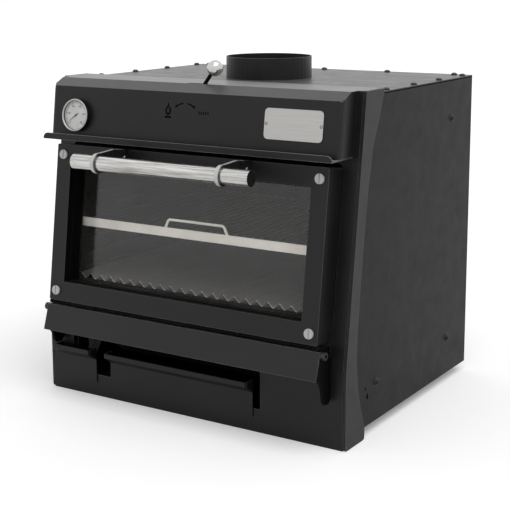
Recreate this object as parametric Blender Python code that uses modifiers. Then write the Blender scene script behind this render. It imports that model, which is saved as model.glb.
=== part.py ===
"""Charcoal oven: a black steel table-top oven with a leaning glass door, a fume hood,
a flue with a damper, an ash drawer, an air slide and a tilting ember flap.

All lengths are in metres, +Z is up, -Y is the front and X = 0 is the middle plane.
Heights are measured from the table, depths from the vertical face of the plinth.
"""
import math

import bmesh
import bpy
from mathutils import Euler, Matrix, Vector

# Clearances shared by the whole assembly
SEAT_GAP = 0.0003
RUNNING_GAP = 0.0004
CUT_OVERRUN = 0.004

# Outer body
WIDTH = 0.725
BODY_DEPTH = 0.5834
FRAME_HEIGHT = 0.6756
KINK_HEIGHT = 0.1538
KINK_RADIUS = 0.24
LEAN_DEG = 7.6
FRONT_SHEET_WALL = 0.004
TOP_FLANGE_DEPTH = 0.071
ROOF_DROP = 0.0067
FRAME_WALL = 0.005
FRAME_FOOT_DEPTH = 0.077
FRAME_FOOT_RADIUS = 0.006
FRAME_SEAM = 0.0012
PANEL_WALL = 0.003
ROOF_WALL = 0.002
FLOOR_HEIGHT = 0.020
FLOOR_WALL = 0.003

# Rear edge of the side frames: depth as a share of the body depth, height as a share of the frame height
FRAME_REAR_SHARES = (
    (0.2450, 1.000), (0.2060, 0.913), (0.1715, 0.852), (0.1540, 0.790), (0.1315, 0.700),
    (0.1080, 0.560), (0.0870, 0.420), (0.0730, 0.300), (0.0727, 0.245), (0.0785, 0.185),
    (0.0950, 0.122), (0.1150, 0.075), (0.1330, 0.036),
)

# Door opening in the front sheet, measured up the lean from the kink
OPENING_SIDE = 0.0365
OPENING_LOW = 0.048
OPENING_HIGH = 0.3905
OPENING_RADIUS = 0.013

# Lower opening for the ash drawer and the air inlet
HATCH_LEFT_SIDE = 0.0625
HATCH_RIGHT_SIDE = 0.1895
HATCH_LOW = 0.047
HATCH_HIGH = 0.135
HATCH_RADIUS = 0.004

# Door
DOOR_SIDE_GAP = 0.0016
DOOR_LOW = 0.0527
DOOR_HIGH = 0.3826
DOOR_FACE_OUT = 0.0524
DOOR_FACE_WALL = 0.003
DOOR_SIDE_WALL = 0.002
DOOR_EDGE_RADIUS = 0.003
WINDOW_SIDE = 0.0362
WINDOW_LOW = 0.0931
WINDOW_HIGH = 0.3454
WINDOW_RADIUS = 0.003
WINDOW_LINER_WALL = 0.0015
WINDOW_BEAD_BACK = 0.016
WINDOW_BEAD_WIDTH = 0.004
WINDOW_BEAD_HEIGHT = 0.0025
PANE_OUT = 0.006
PANE_WALL = 0.004
PANE_MARGIN = 0.008
DOOR_BACK_WALL = 0.0015
DOOR_SEAL_WIDTH = 0.012
DOOR_SEAL_INSET = 0.003
DOOR_SCREW_SIDE = 0.0179
DOOR_SCREW_LOW = 0.0737
DOOR_SCREW_HIGH = 0.3611
DOOR_SCREW_RADIUS = 0.0098
DOOR_SCREW_HEAD = 0.0035
DOOR_SCREW_SLOT = 0.0018
DOOR_SCREW_SLOT_DEPTH = 0.0015

# Door hinge
HINGE_ROD_RADIUS = 0.0025
KNUCKLE_RADIUS = 0.004
KNUCKLE_LENGTH = 0.060
KNUCKLE_X = 0.235
HINGE_BEHIND_FACE = 0.0055
LUG_WALL = 0.005
LUG_INNER_X = 0.150

# Handle: a tube in two ring brackets
HANDLE_OUT = 0.1469
HANDLE_BELOW_TOP = 0.0279
HANDLE_RADIUS = 0.0155
HANDLE_WALL = 0.0015
HANDLE_SIDE = 0.1174
HANDLE_SHIFT = 0.010
HANDLE_CAP_WALL = 0.0015
BRACKET_FROM_END = 0.0612
BRACKET_SHIFT = 0.007
BRACKET_WALL = 0.008
BRACKET_RING_WALL = 0.0045
BRACKET_SHOULDER = 0.050
BRACKET_RISE = 0.028
BRACKET_FALL = 0.006
BRACKET_SCREW_OUT = 0.015
BRACKET_SCREW_UP = 0.012
BRACKET_SCREW_RADIUS = 0.004
BRACKET_SCREW_HEAD = 0.0025

# Ember flap under the door
FLAP_PIN_Y = -0.037
FLAP_PIN_Z = 0.1936
FLAP_SIDE_STEP = 0.0059
FLAP_WALL = 0.002
FLAP_TOP_Y = -0.0432
FLAP_TOP_Z = 0.2012
FLAP_LOW_Y = -0.060
FLAP_LOW_Z = 0.149
FLAP_LEDGE_DEPTH = 0.011
FLAP_LEDGE_SIDE = 0.0118
PIN_BOSS_RADIUS = 0.0053
LUG_NOTCH_RADIUS = 0.0112
LUG_NOTCH_DEG = 46
LUG_LOW_Z = 0.178
LUG_INNER_LOW_Z = 0.186
WING_WALL = 0.005
WING_BOSS_RADIUS = 0.0082
WING_BACK_TOP_Z = 0.178
WING_SHEET_GAP = 0.0015
WING_TIP_Z = 0.093
WING_TIP_OVER_SLIDE_Z = 0.111
# Free edge of a wing: depth as a share of the flap's lowest point, height as a share from tip to flap
WING_EDGE_SHARES = ((0.13, 0.00), (0.35, 0.00), (0.45, 0.06), (0.52, 0.22), (0.56, 0.45), (0.62, 0.68),
                    (0.75, 0.88), (0.92, 1.04))
FLAP_PIN_RADIUS = 0.0025
FLAP_PIN_HEAD_RADIUS = 0.0078
FLAP_PIN_HEAD = 0.0085
FLAP_PIN_SOCKET_RADIUS = 0.004
FLAP_PIN_SOCKET_DEPTH = 0.004

# Fume hood over the door
HOOD_SIDE_STEP = 0.0185
HOOD_FORWARD = 0.055
HOOD_HEIGHT = 0.1206
HOOD_BEND_DROP = 0.0148
HOOD_TOP_BACK = 0.0262
HOOD_WALL = 0.002
HOOD_CORNER_RADIUS = 0.008
LIP_SIDE_STEP = 0.001
LIP_FORWARD = 0.078
LIP_RISE = 0.0105
LIP_WALL = 0.002
LIP_CORNER_RADIUS = 0.013
LEVER_SLOT_HALF_LENGTH = 0.025
LEVER_SLOT_HALF_WIDTH = 0.0055

# Flue, exhaust throat and damper
FLUE_REAR = 0.2656
FLUE_RADIUS = 0.092
FLUE_WALL = 0.002
FLUE_RISE = 0.0462
THROAT_HALF_WIDTH = 0.056
THROAT_HALF_DEPTH = 0.074
THROAT_WALL = 0.002
DAMPER_AXIS_DROP = 0.0206
DAMPER_SHAFT_RADIUS = 0.005
DAMPER_PLATE_WALL = 0.002
DAMPER_SIDE_GAP = 0.004
DAMPER_END_GAP = 0.002
LEVER_Y = 0.050
LEVER_LEAN_DEG = 37.5
LEVER_LENGTH = 0.066
LEVER_RADIUS = 0.0038
LEVER_HUB_RADIUS = 0.009
LEVER_HUB_LENGTH = 0.012
KNOB_RADIUS = 0.0160

# Cooking chamber
LINER_SIDE = 0.008
LINER_WALL = 0.002
LINER_LOW_Z = 0.118
LINER_TOP = 0.0856
LINER_REAR = 0.0434
MOUTH_WALL = 0.003
MOUTH_OUTER_MARGIN = 0.019
MOUTH_LAP = 0.010
INSULATION_TOP = 0.0356
LEDGE_HIGH_Z = 0.4255
LEDGE_PITCH = 0.0325
LEDGE_COUNT = 6
LEDGE_WIDTH = 0.012
LEDGE_HEIGHT = 0.014
LEDGE_WALL = 0.002
LEDGE_SET_BACK = 0.040

# Upper rack
RACK_SIDE_GAP = 0.003
RACK_RAIL_HEIGHT = 0.019
RACK_RAIL_WALL = 0.003
RACK_LEVEL = 3
RACK_FRONT_Y = 0.0355
RACK_REAR_GAP = 0.015
RACK_WIRE_RADIUS = 0.0025
RACK_WIRE_PITCH = 0.020
RACK_HANDLE_BASE_X = 0.0767
RACK_HANDLE_TOP_X = 0.0706
RACK_HANDLE_RISE = 0.020
RACK_HANDLE_WIRE = 0.0028
RACK_HANDLE_BEND = 0.008

# Channel grill
GRILL_SIDE_GAP = 0.0145
GRILL_PITCH = 0.0262
GRILL_DEPTH = 0.012
GRILL_WALL = 0.0015
GRILL_FRONT_Y = 0.034

# Firebox, grate and hopper
FIREBOX_FRONT_Y = 0.030
FIREBOX_LOW_Z = 0.150
FIREBOX_HIGH_Z = 0.2460
FIREBOX_WALL = 0.005
GRATE_WALL = 0.008
GRATE_SLOT_WIDTH = 0.009
GRATE_SLOT_PITCH = 0.030
GRATE_SLOT_MARGIN = 0.030
HOPPER_WALL = 0.002
HOPPER_LOW_Z = 0.104

# Ash drawer
DRAWER_LEFT_GAP = 0.0386
DRAWER_RIGHT_GAP = 0.016
SHUTTER_LOW_Z = 0.031
SHUTTER_BEND_Z = 0.081
SHUTTER_LIP_OUT = 0.026
SHUTTER_LIP_LOW_Z = 0.097
SHUTTER_LIP_HIGH_Z = 0.1065
SHUTTER_WALL = 0.0025
SHUTTER_NOTCH = 0.003
TRAY_SIDE_INSET = 0.010
TRAY_LOW_Z = 0.050
TRAY_HIGH_Z = 0.098
TRAY_REAR = 0.120
TRAY_WALL = 0.0015
RUNNER_WIDTH = 0.010

# Air slide
AIR_SIDE = 0.0265
AIR_LENGTH = 0.0994
AIR_BACK_WALL = 0.002
AIR_BACK_LOW_Z = 0.038
AIR_BACK_HIGH_Z = 0.100
AIR_BACK_SHORTER = 0.0054
AIR_STUD_RADIUS = 0.004
AIR_STUD_SPREAD = 0.034
AIR_RAIL_DEPTH = 0.006
AIR_RAIL_LONGER = 0.0386

# Thermometer on the hood
GAUGE_SIDE_INSET = 0.0708
GAUGE_RISE = 0.0467
GAUGE_RADIUS = 0.0335
GAUGE_CASE_RADIUS = 0.031
GAUGE_STANDOFF = 0.0125
GAUGE_RIM = 0.003
GAUGE_RIM_LIP = 0.002
GAUGE_DIAL_WALL = 0.001
GAUGE_LENS_WALL = 0.001
GAUGE_NEEDLE_LENGTH = 0.020
GAUGE_NEEDLE_TAIL = 0.007
GAUGE_NEEDLE_WIDTH = 0.002
GAUGE_NEEDLE_WALL = 0.0006
GAUGE_HUB_RADIUS = 0.0026
GAUGE_REST_DEG = 215

# Plain badge plate on the hood
BADGE_LENGTH = 0.126
BADGE_SIDE_INSET = 0.037
BADGE_RISE = 0.0285
BADGE_HEIGHT = 0.058
BADGE_WALL = 0.0012
BADGE_RADIUS = 0.008
BADGE_RIVET_INSET = 0.004
BADGE_RIVET_RADIUS = 0.0018

# Screws of the panels and feet at the rear
BUTTON_RADIUS = 0.0065
BUTTON_HEIGHT = 0.003
HEAD_SINK = 0.0008
WASHER_RADIUS = 0.0085
WASHER_WALL = 0.001
ROOF_BUTTON_HEIGHT = 0.005
ROOF_ROW_INSET = 0.0135
ROOF_ROW_FIRST_Y = 0.177
ROOF_ROW_REAR = 0.0362
ROOF_ROW_COUNT = 4
ROOF_BACK_INSET = 0.0192
ROOF_BACK_SIDE = 0.0395
ROOF_BACK_COUNT = 5
SIDE_SCREW_HIGH_REAR = 0.1064
SIDE_SCREW_HIGH_DROP = 0.0839
SIDE_SCREW_LOW_REAR = 0.1044
SIDE_SCREW_LOW_Z = 0.101
SIDE_SCREW_FRONT_Y = 0.137
SIDE_SCREW_FRONT_Z = 0.0987
REAR_SCREW_INSET = 0.020
REAR_SCREW_ROWS = 3
FOOT_RADIUS = 0.020
FOOT_SIDE = 0.0975
FOOT_INSET = 0.045

# Facet counts
ROUND_SIDES = 16
SMALL_ROUND_SIDES = 12
LARGE_ROUND_SIDES = 48
CORNER_STEPS = 3

# Worked-out sizes
LEAN = math.radians(LEAN_DEG)
SIN_LEAN = math.sin(LEAN)
COS_LEAN = math.cos(LEAN)
HALF_WIDTH = WIDTH / 2
HOOD_HALF_WIDTH = HALF_WIDTH - HOOD_SIDE_STEP
LIP_HALF_WIDTH = HOOD_HALF_WIDTH - LIP_SIDE_STEP
BADGE_RIGHT = HOOD_HALF_WIDTH - BADGE_SIDE_INSET
BADGE_LEFT = BADGE_RIGHT - BADGE_LENGTH
GAUGE_X = GAUGE_SIDE_INSET - HOOD_HALF_WIDTH
HANDLE_UP = DOOR_HIGH - HANDLE_BELOW_TOP
OPENING_HALF_WIDTH = HALF_WIDTH - OPENING_SIDE
DOOR_HALF_WIDTH = OPENING_HALF_WIDTH - DOOR_SIDE_GAP
WINDOW_HALF_WIDTH = DOOR_HALF_WIDTH - WINDOW_SIDE
DOOR_SCREW_X = DOOR_HALF_WIDTH - DOOR_SCREW_SIDE
HANDLE_HALF_LENGTH = DOOR_HALF_WIDTH - HANDLE_SIDE
BRACKET_X = HANDLE_HALF_LENGTH - BRACKET_FROM_END
LINER_HALF_WIDTH = OPENING_HALF_WIDTH - LINER_SIDE
RACK_HALF_WIDTH = LINER_HALF_WIDTH - RACK_SIDE_GAP
GRILL_HALF_WIDTH = LINER_HALF_WIDTH - GRILL_SIDE_GAP
FLAP_HALF_WIDTH = DOOR_HALF_WIDTH + FLAP_SIDE_STEP
FLAP_LEDGE_HALF_WIDTH = FLAP_HALF_WIDTH - FLAP_LEDGE_SIDE
AIR_LEFT = AIR_SIDE - HALF_WIDTH
AIR_RIGHT = AIR_LEFT + AIR_LENGTH
AIR_BACK_RIGHT = AIR_RIGHT - AIR_BACK_SHORTER
AIR_RAIL_RIGHT = AIR_RIGHT + AIR_RAIL_LONGER
HATCH_LEFT = HATCH_LEFT_SIDE - HALF_WIDTH
HATCH_RIGHT = HALF_WIDTH - HATCH_RIGHT_SIDE
DRAWER_FRONT_LEFT = AIR_RIGHT + DRAWER_LEFT_GAP
DRAWER_FRONT_RIGHT = HATCH_RIGHT - DRAWER_RIGHT_GAP
FOOT_X = HALF_WIDTH - FOOT_SIDE
LINER_BACK_Y = BODY_DEPTH - LINER_REAR
RACK_BACK_Y = LINER_BACK_Y - RACK_REAR_GAP
TRAY_LENGTH = LINER_BACK_Y - TRAY_REAR
FLUE_Y = BODY_DEPTH - FLUE_REAR
LINER_HIGH_Z = FRAME_HEIGHT - LINER_TOP
INSULATION_HIGH_Z = FRAME_HEIGHT - INSULATION_TOP
DAMPER_AXIS_Z = FRAME_HEIGHT - DAMPER_AXIS_DROP
HOOD_LOW_Z = FRAME_HEIGHT - HOOD_HEIGHT
HOOD_BEND_Z = FRAME_HEIGHT - HOOD_BEND_DROP
GAUGE_Z = HOOD_LOW_Z + GAUGE_RISE
BADGE_LOW_Z = HOOD_LOW_Z + BADGE_RISE
BADGE_HIGH_Z = BADGE_LOW_Z + BADGE_HEIGHT
ROOF_ROW_PITCH = (BODY_DEPTH - ROOF_ROW_REAR - ROOF_ROW_FIRST_Y) / (ROOF_ROW_COUNT - 1)
ROOF_BACK_PITCH = 2 * (HALF_WIDTH - ROOF_BACK_SIDE) / (ROOF_BACK_COUNT - 1)
SHEET_HALF_WIDTH = HALF_WIDTH - FRAME_WALL - SEAT_GAP
PANEL_INNER_X = SHEET_HALF_WIDTH - PANEL_WALL
ROOF_Z = FRAME_HEIGHT - ROOF_DROP
ROOF_UNDER_Z = ROOF_Z - ROOF_WALL
SIDE_SCREW_PLACES = (
    (BODY_DEPTH - SIDE_SCREW_HIGH_REAR, ROOF_Z - SIDE_SCREW_HIGH_DROP),
    (BODY_DEPTH - SIDE_SCREW_LOW_REAR, SIDE_SCREW_LOW_Z), (SIDE_SCREW_FRONT_Y, SIDE_SCREW_FRONT_Z),
)
HINGE_OUT = DOOR_FACE_OUT - HINGE_BEHIND_FACE
HINGE_UP = DOOR_LOW - KNUCKLE_RADIUS - SEAT_GAP
MOUTH_OUT = -FRONT_SHEET_WALL - SEAT_GAP
LINER_OUT = MOUTH_OUT - MOUTH_WALL - SEAT_GAP
FRONT_OVERHANG = (HANDLE_OUT + HANDLE_RADIUS + BRACKET_RING_WALL) * COS_LEAN - HANDLE_UP * SIN_LEAN
FRAME_SHIFT_Y = -(BODY_DEPTH + BUTTON_HEIGHT - FRONT_OVERHANG) / 2


def slope_y(height, out=0.0):
    """Depth of the leaning front plane, or of a plane 'out' in front of it, at a height."""
    return (height - KINK_HEIGHT) * math.tan(LEAN) - out / COS_LEAN


def slope_place(out, up):
    """(y, z) of a point given by its distance out of the leaning plane and up along it."""
    return (up * SIN_LEAN - out * COS_LEAN, KINK_HEIGHT + up * COS_LEAN + out * SIN_LEAN)


def up_of(height, out=0.0):
    """Distance up the lean of a point at a height on a plane 'out' in front of the lean."""
    return (height - KINK_HEIGHT - out * SIN_LEAN) / COS_LEAN


def arc(centre, radius, start_deg, end_deg, steps):
    """Points of an arc, both ends included."""
    points = []
    for step in range(steps + 1):
        angle = math.radians(start_deg + (end_deg - start_deg) * step / steps)
        points.append((centre[0] + radius * math.cos(angle), centre[1] + radius * math.sin(angle)))
    return points


def rounded_rectangle(low, high, radius, steps=CORNER_STEPS):
    """Outline of a rectangle with round corners, anticlockwise."""
    centres = (
        (high[0] - radius, low[1] + radius, -90), (high[0] - radius, high[1] - radius, 0),
        (low[0] + radius, high[1] - radius, 90), (low[0] + radius, low[1] + radius, 180),
    )
    points = []
    for x, y, start in centres:
        points += arc((x, y), radius, start, start + 90, steps)
    return points


def rectangle(low, high):
    return [(low[0], low[1]), (high[0], low[1]), (high[0], high[1]), (low[0], high[1])]


def smooth_through(points, steps):
    """Catmull-Rom curve through the points."""
    ends = [points[0]] + list(points) + [points[-1]]
    result = [points[0]]
    for index in range(1, len(ends) - 2):
        before, first, second, after = (Vector(p) for p in ends[index - 1:index + 3])
        for step in range(1, steps + 1):
            t = step / steps
            point = 0.5 * (
                2 * first + (second - before) * t
                + (2 * before - 5 * first + 4 * second - after) * t * t
                + (3 * first - before - 3 * second + after) * t * t * t
            )
            result.append((point.x, point.y))
    return result


def front_line():
    """Front outline of the body in (y, z): upright plinth, round kink, leaning front."""
    tangent = KINK_RADIUS * math.tan(LEAN / 2)
    centre = (KINK_RADIUS, KINK_HEIGHT - tangent)
    bend = arc(centre, KINK_RADIUS, 180, 180 - LEAN_DEG, CORNER_STEPS)
    return [(0.0, 0.0)] + bend + [(slope_y(FRAME_HEIGHT), FRAME_HEIGHT)]


# Scene, collections and materials
for old in list(bpy.data.objects):
    bpy.data.objects.remove(old, do_unlink=True)

PARTS = bpy.data.collections.new("charcoal_oven")
CUTTERS = bpy.data.collections.new("charcoal_oven_cutters")
bpy.context.scene.collection.children.link(PARTS)
bpy.context.scene.collection.children.link(CUTTERS)


def material(name, colour, roughness, metallic):
    made = bpy.data.materials.new(name)
    made.use_nodes = True
    shader = made.node_tree.nodes["Principled BSDF"]
    shader.inputs["Base Color"].default_value = (*colour, 1.0)
    shader.inputs["Roughness"].default_value = roughness
    shader.inputs["Metallic"].default_value = metallic
    return made


FINISHES = {
    "black_paint": ((0.020, 0.020, 0.021), 0.45, 0.1),
    "stainless": ((0.62, 0.62, 0.62), 0.28, 1.0),
    "chamber_steel": ((0.34, 0.31, 0.27), 0.5, 1.0),
    "rack_steel": ((0.62, 0.58, 0.52), 0.4, 1.0),
    "cast_iron": ((0.03, 0.03, 0.03), 0.7, 0.4),
    "black_cap": ((0.012, 0.012, 0.012), 0.5, 0.0),
    "glass": ((0.75, 0.76, 0.76), 0.05, 0.0),
    "dial_white": ((0.85, 0.85, 0.84), 0.5, 0.0),
    "needle_black": ((0.02, 0.02, 0.02), 0.4, 0.0),
    "fibre": ((0.75, 0.74, 0.70), 0.95, 0.0),
    "seal_rope": ((0.20, 0.19, 0.18), 0.95, 0.0),
}


def finish(name):
    """A material of its own for each sub-part, with the named finish."""
    colour, roughness, metallic = FINISHES[name]
    return lambda part: material(part + "_" + name, colour, roughness, metallic)


def empty(name, place, parent=None, rotation=(0.0, 0.0, 0.0)):
    made = bpy.data.objects.new(name, None)
    PARTS.objects.link(made)
    made.parent = parent
    made.location = place
    made.rotation_euler = rotation
    return made


BODY = empty("oven_frame", (0.0, FRAME_SHIFT_Y, 0.0))
SLOPE = empty("leaning_front", (0.0, 0.0, KINK_HEIGHT), BODY, (-LEAN, 0.0, 0.0))
DOOR = empty("door_axis", (0.0, -HINGE_OUT, HINGE_UP), SLOPE)
FLAP = empty("flap_axis", (0.0, FLAP_PIN_Y, FLAP_PIN_Z), BODY)
DRAWER = empty("drawer_axis", ((DRAWER_FRONT_LEFT + DRAWER_FRONT_RIGHT) / 2, 0.0, SHUTTER_LOW_Z), BODY)
AIR = empty("air_axis", ((AIR_LEFT + AIR_RIGHT) / 2, 0.0, SHUTTER_LOW_Z), BODY)
DAMPER = empty("damper_axis", (0.0, LEVER_Y, DAMPER_AXIS_Z), BODY)
GAUGE = empty("gauge_axis", (GAUGE_X, -HOOD_FORWARD * COS_LEAN, up_of(GAUGE_Z, HOOD_FORWARD * COS_LEAN)),
              SLOPE)
ORIGINS = {
    BODY: Vector((0.0, 0.0, 0.0)),
    SLOPE: Vector((0.0, 0.0, 0.0)),
    DOOR: Vector((0.0, -HINGE_OUT, HINGE_UP)),
    FLAP: Vector(FLAP.location),
    DRAWER: Vector(DRAWER.location),
    AIR: Vector(AIR.location),
    DAMPER: Vector(DAMPER.location),
    GAUGE: Vector(GAUGE.location),
}

# Turns from an outline's own plane (x right, y up, z towards the viewer) to the planes of the oven
SIDES = ((-1, "left"), (1, "right"))
FLAT = (0.0, 0.0, 0.0)
FACING_FRONT = (math.pi / 2, 0.0, 0.0)
FACING_RIGHT = (math.pi / 2, 0.0, math.pi / 2)
TO_RIGHT = Euler(FACING_RIGHT).to_matrix().to_4x4()
TO_FRONT = Euler(FACING_FRONT).to_matrix().to_4x4()


def add(made, parent, place, rotation, surface, collection=PARTS):
    """Put an object at a place given in the coordinates of the body or of the leaning front."""
    collection.objects.link(made)
    made.parent = parent
    made.location = Vector(place) - ORIGINS[parent]
    made.rotation_euler = rotation
    if surface is not None:
        made.data.materials.append(finish(surface)(made.name))
    return made


def plate(name, loops, wall, place, facing, surface, parent=BODY):
    """A flat outline with holes, as thick as wall and centred on it."""
    curve = bpy.data.curves.new(name, "CURVE")
    curve.dimensions = "2D"
    curve.fill_mode = "BOTH"
    curve.extrude = wall / 2
    for loop in loops:
        spline = curve.splines.new("POLY")
        spline.points.add(len(loop) - 1)
        for point, (x, y) in zip(spline.points, loop):
            point.co = (x, y, 0.0, 1.0)
        spline.use_cyclic_u = True
    return add(bpy.data.objects.new(name, curve), parent, place, facing, surface)


def plate_shape(loops, wall):
    """The same plate as loose geometry, for a group of like pieces."""
    guide = plate("plate_guide", loops, wall, (0.0, 0.0, 0.0), FLAT, None)
    guide = to_mesh(guide)
    shape = bmesh.new()
    shape.from_mesh(guide.data)
    bpy.data.objects.remove(guide, do_unlink=True)
    return shape


def mesh_object(name, shape, parent, place, rotation, surface, collection=PARTS):
    mesh = bpy.data.meshes.new(name)
    shape.to_mesh(mesh)
    shape.free()
    return add(bpy.data.objects.new(name, mesh), parent, place, rotation, surface, collection)


def box_shape(low, high):
    """Box between two corners, about the object's own origin."""
    size = Vector(high) - Vector(low)
    centre = (Vector(high) + Vector(low)) / 2
    shape = bmesh.new()
    bmesh.ops.create_cube(shape, size=1.0, matrix=Matrix.Translation(centre) @ Matrix.Diagonal((*size, 1.0)))
    return shape


def box(name, low, high, surface, parent=BODY, collection=PARTS):
    """Box between two corners; a moving piece has its origin on its joint's axis."""
    origin = ORIGINS[parent]
    shape = box_shape(Vector(low) - origin, Vector(high) - origin)
    return mesh_object(name, shape, parent, origin, FLAT, surface, collection)


def cylinder_shape(radius, length, sides, axis="Z", top_radius=None):
    """Cylinder or cone centred on the origin."""
    shape = bmesh.new()
    bmesh.ops.create_cone(
        shape, cap_ends=True, segments=sides, radius1=radius,
        radius2=radius if top_radius is None else top_radius, depth=length)
    turns = {"X": Matrix.Rotation(math.pi / 2, 4, "Y"), "Y": Matrix.Rotation(math.pi / 2, 4, "X"),
             "Z": Matrix.Identity(4)}
    bmesh.ops.transform(shape, matrix=turns[axis], verts=shape.verts)
    return shape


def smooth(made, angle_deg=40):
    made.data.shade_smooth()
    made.data.set_sharp_from_angle(angle=math.radians(angle_deg))
    return made


def turned(name, profile, sides, parent, place, rotation, surface):
    """Turned piece: the profile runs down its outer side, as (radius, height) points."""
    mesh = bpy.data.meshes.new(name)
    mesh.from_pydata([(r, 0.0, h) for r, h in profile], [(i, i + 1) for i in range(len(profile) - 1)], [])
    made = add(bpy.data.objects.new(name, mesh), parent, place, rotation, surface)
    screw = made.modifiers.new("turn", "SCREW")
    screw.steps = sides
    screw.render_steps = sides
    screw.use_merge_vertices = True
    screw.merge_threshold = SEAT_GAP / 10
    screw.use_smooth_shade = False
    return made


def to_mesh(made):
    """Turn a curve or modified object into a plain welded mesh, keeping its place."""
    bpy.context.view_layer.update()
    evaluated = made.evaluated_get(bpy.context.evaluated_depsgraph_get())
    mesh = bpy.data.meshes.new_from_object(evaluated)
    shape = bmesh.new()
    shape.from_mesh(mesh)
    bmesh.ops.remove_doubles(shape, verts=shape.verts, dist=SEAT_GAP / 10)
    bmesh.ops.recalc_face_normals(shape, faces=shape.faces)
    shape.to_mesh(mesh)
    shape.free()
    name = made.name
    solid = bpy.data.objects.new(name + "_solid", mesh)
    for collection in made.users_collection:
        collection.objects.link(solid)
    solid.parent = made.parent
    solid.location = made.location
    solid.rotation_euler = made.rotation_euler
    if made.data.materials and not mesh.materials:
        mesh.materials.append(made.data.materials[0])
    bpy.data.objects.remove(made, do_unlink=True)
    solid.name = name
    bpy.context.view_layer.update()
    return solid


def combine(target, tools, operation):
    """Cut the tools from the target, or join them to it, by exact Booleans."""
    target = to_mesh(target) if target.type == "CURVE" else target
    tools = [to_mesh(tool) if tool.type == "CURVE" else tool for tool in tools]
    for tool in tools:
        change = target.modifiers.new(operation.lower(), "BOOLEAN")
        change.operation = operation
        change.solver = "EXACT"
        change.object = tool
    if operation == "UNION":
        target = to_mesh(target)
        for tool in tools:
            bpy.data.objects.remove(tool, do_unlink=True)
        return target
    for tool in tools:
        PARTS.objects.unlink(tool)
        CUTTERS.objects.link(tool)
        tool.hide_render = True
        tool.display_type = "WIRE"
    return target


def solids(name, shapes, parent, surface, smooth_shade=True):
    """One object from loose shapes, each placed by its matrix in body or leaning-front coordinates."""
    whole = bmesh.new()
    for shape, place in shapes:
        bmesh.ops.transform(shape, matrix=place, verts=shape.verts)
        mesh = bpy.data.meshes.new("piece")
        shape.to_mesh(mesh)
        shape.free()
        whole.from_mesh(mesh)
        bpy.data.meshes.remove(mesh)
    bmesh.ops.transform(whole, matrix=Matrix.Translation(-ORIGINS[parent]), verts=whole.verts)
    made = mesh_object(name, whole, parent, ORIGINS[parent], FLAT, surface)
    return smooth(made) if smooth_shade else made


def lathed_shape(profile, sides):
    """Closed turned solid about Z; the profile runs from the top inwards down its outer side."""
    shape = bmesh.new()
    loops = []
    for radius, level in reversed(profile):
        loops.append([shape.verts.new((x, y, level)) for x, y in arc((0.0, 0.0), radius, 0, 360, sides)[:-1]])
    for lower, upper in zip(loops, loops[1:]):
        for index in range(sides):
            after = (index + 1) % sides
            shape.faces.new((lower[index], lower[after], upper[after], upper[index]))
    shape.faces.new(list(reversed(loops[0])))
    shape.faces.new(loops[-1])
    return shape


def button_head(radius, height):
    """Domed screw head on Z = 0, sunk a little into what it is joined to."""
    shares = ((0.4, 1.0), (0.8, 0.8), (1.0, 0.4), (1.0, 0.0))
    profile = [(radius * r, height * z) for r, z in shares] + [(radius, -HEAD_SINK)]
    return lathed_shape(profile, SMALL_ROUND_SIDES)


# Body: side frames, front sheet, panels, floor and feet
def side_frames():
    """Thick profiled plates at both ends of the front, which are also its feet."""
    rear = smooth_through([(BODY_DEPTH * y, FRAME_HEIGHT * z) for y, z in FRAME_REAR_SHARES], CORNER_STEPS)
    foot = arc((FRAME_FOOT_DEPTH - FRAME_FOOT_RADIUS, FRAME_FOOT_RADIUS), FRAME_FOOT_RADIUS, 0, -90,
               CORNER_STEPS)
    toe = arc((FRAME_FOOT_RADIUS, FRAME_FOOT_RADIUS), FRAME_FOOT_RADIUS, 270, 180, CORNER_STEPS)
    outline = toe + front_line()[1:] + rear + foot
    for side, name in SIDES:
        plate("side_frame_" + name, [outline], FRAME_WALL, (side * (HALF_WIDTH - FRAME_WALL / 2), 0.0, 0.0),
              FACING_RIGHT, "black_paint")


def front_sheet():
    """One folded sheet: plinth, leaning front and top flange with its turned-down edge."""
    front = front_line()
    flange_back = front[-1][0] + TOP_FLANGE_DEPTH
    wall = FRONT_SHEET_WALL
    inner = [(y + wall / COS_LEAN, z) for y, z in front[1:-1]]
    corner = slope_y(FRAME_HEIGHT - wall, -wall)
    outline = front + [
        (flange_back, FRAME_HEIGHT), (flange_back, ROOF_Z + SEAT_GAP), (flange_back - wall,
                                                                        ROOF_Z + SEAT_GAP),
        (flange_back - wall, FRAME_HEIGHT - wall), (corner, FRAME_HEIGHT - wall),
    ] + list(reversed(inner)) + [(wall, 0.0)]
    sheet = plate("front_sheet", [outline], 2 * (SHEET_HALF_WIDTH - FRAME_SEAM), (0.0, 0.0, 0.0),
                  FACING_RIGHT, "black_paint")
    sheet = combine(sheet, [hinge_lugs()], "UNION")
    reach = FRONT_SHEET_WALL + 2 * CUT_OVERRUN
    door_hole = plate(
        "door_hole_cutter",
        [rounded_rectangle((-OPENING_HALF_WIDTH, OPENING_LOW), (OPENING_HALF_WIDTH, OPENING_HIGH),
                           OPENING_RADIUS)],
        reach, (0.0, FRONT_SHEET_WALL / 2, 0.0), FACING_FRONT, None, SLOPE)
    hatch = plate(
        "hatch_cutter",
        [rounded_rectangle((HATCH_LEFT, HATCH_LOW), (HATCH_RIGHT, HATCH_HIGH), HATCH_RADIUS)],
        reach, (0.0, FRONT_SHEET_WALL / 2, 0.0), FACING_FRONT, None)
    shaft_hole = mesh_object(
        "shaft_hole_cutter",
        cylinder_shape(DAMPER_SHAFT_RADIUS + 2 * RUNNING_GAP, 2 * reach, ROUND_SIDES, "Y"),
        BODY, (0.0, slope_y(DAMPER_AXIS_Z, -wall / 2), DAMPER_AXIS_Z), FLAT, None)
    combine(sheet, [door_hole, hatch, shaft_hole], "DIFFERENCE")


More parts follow.
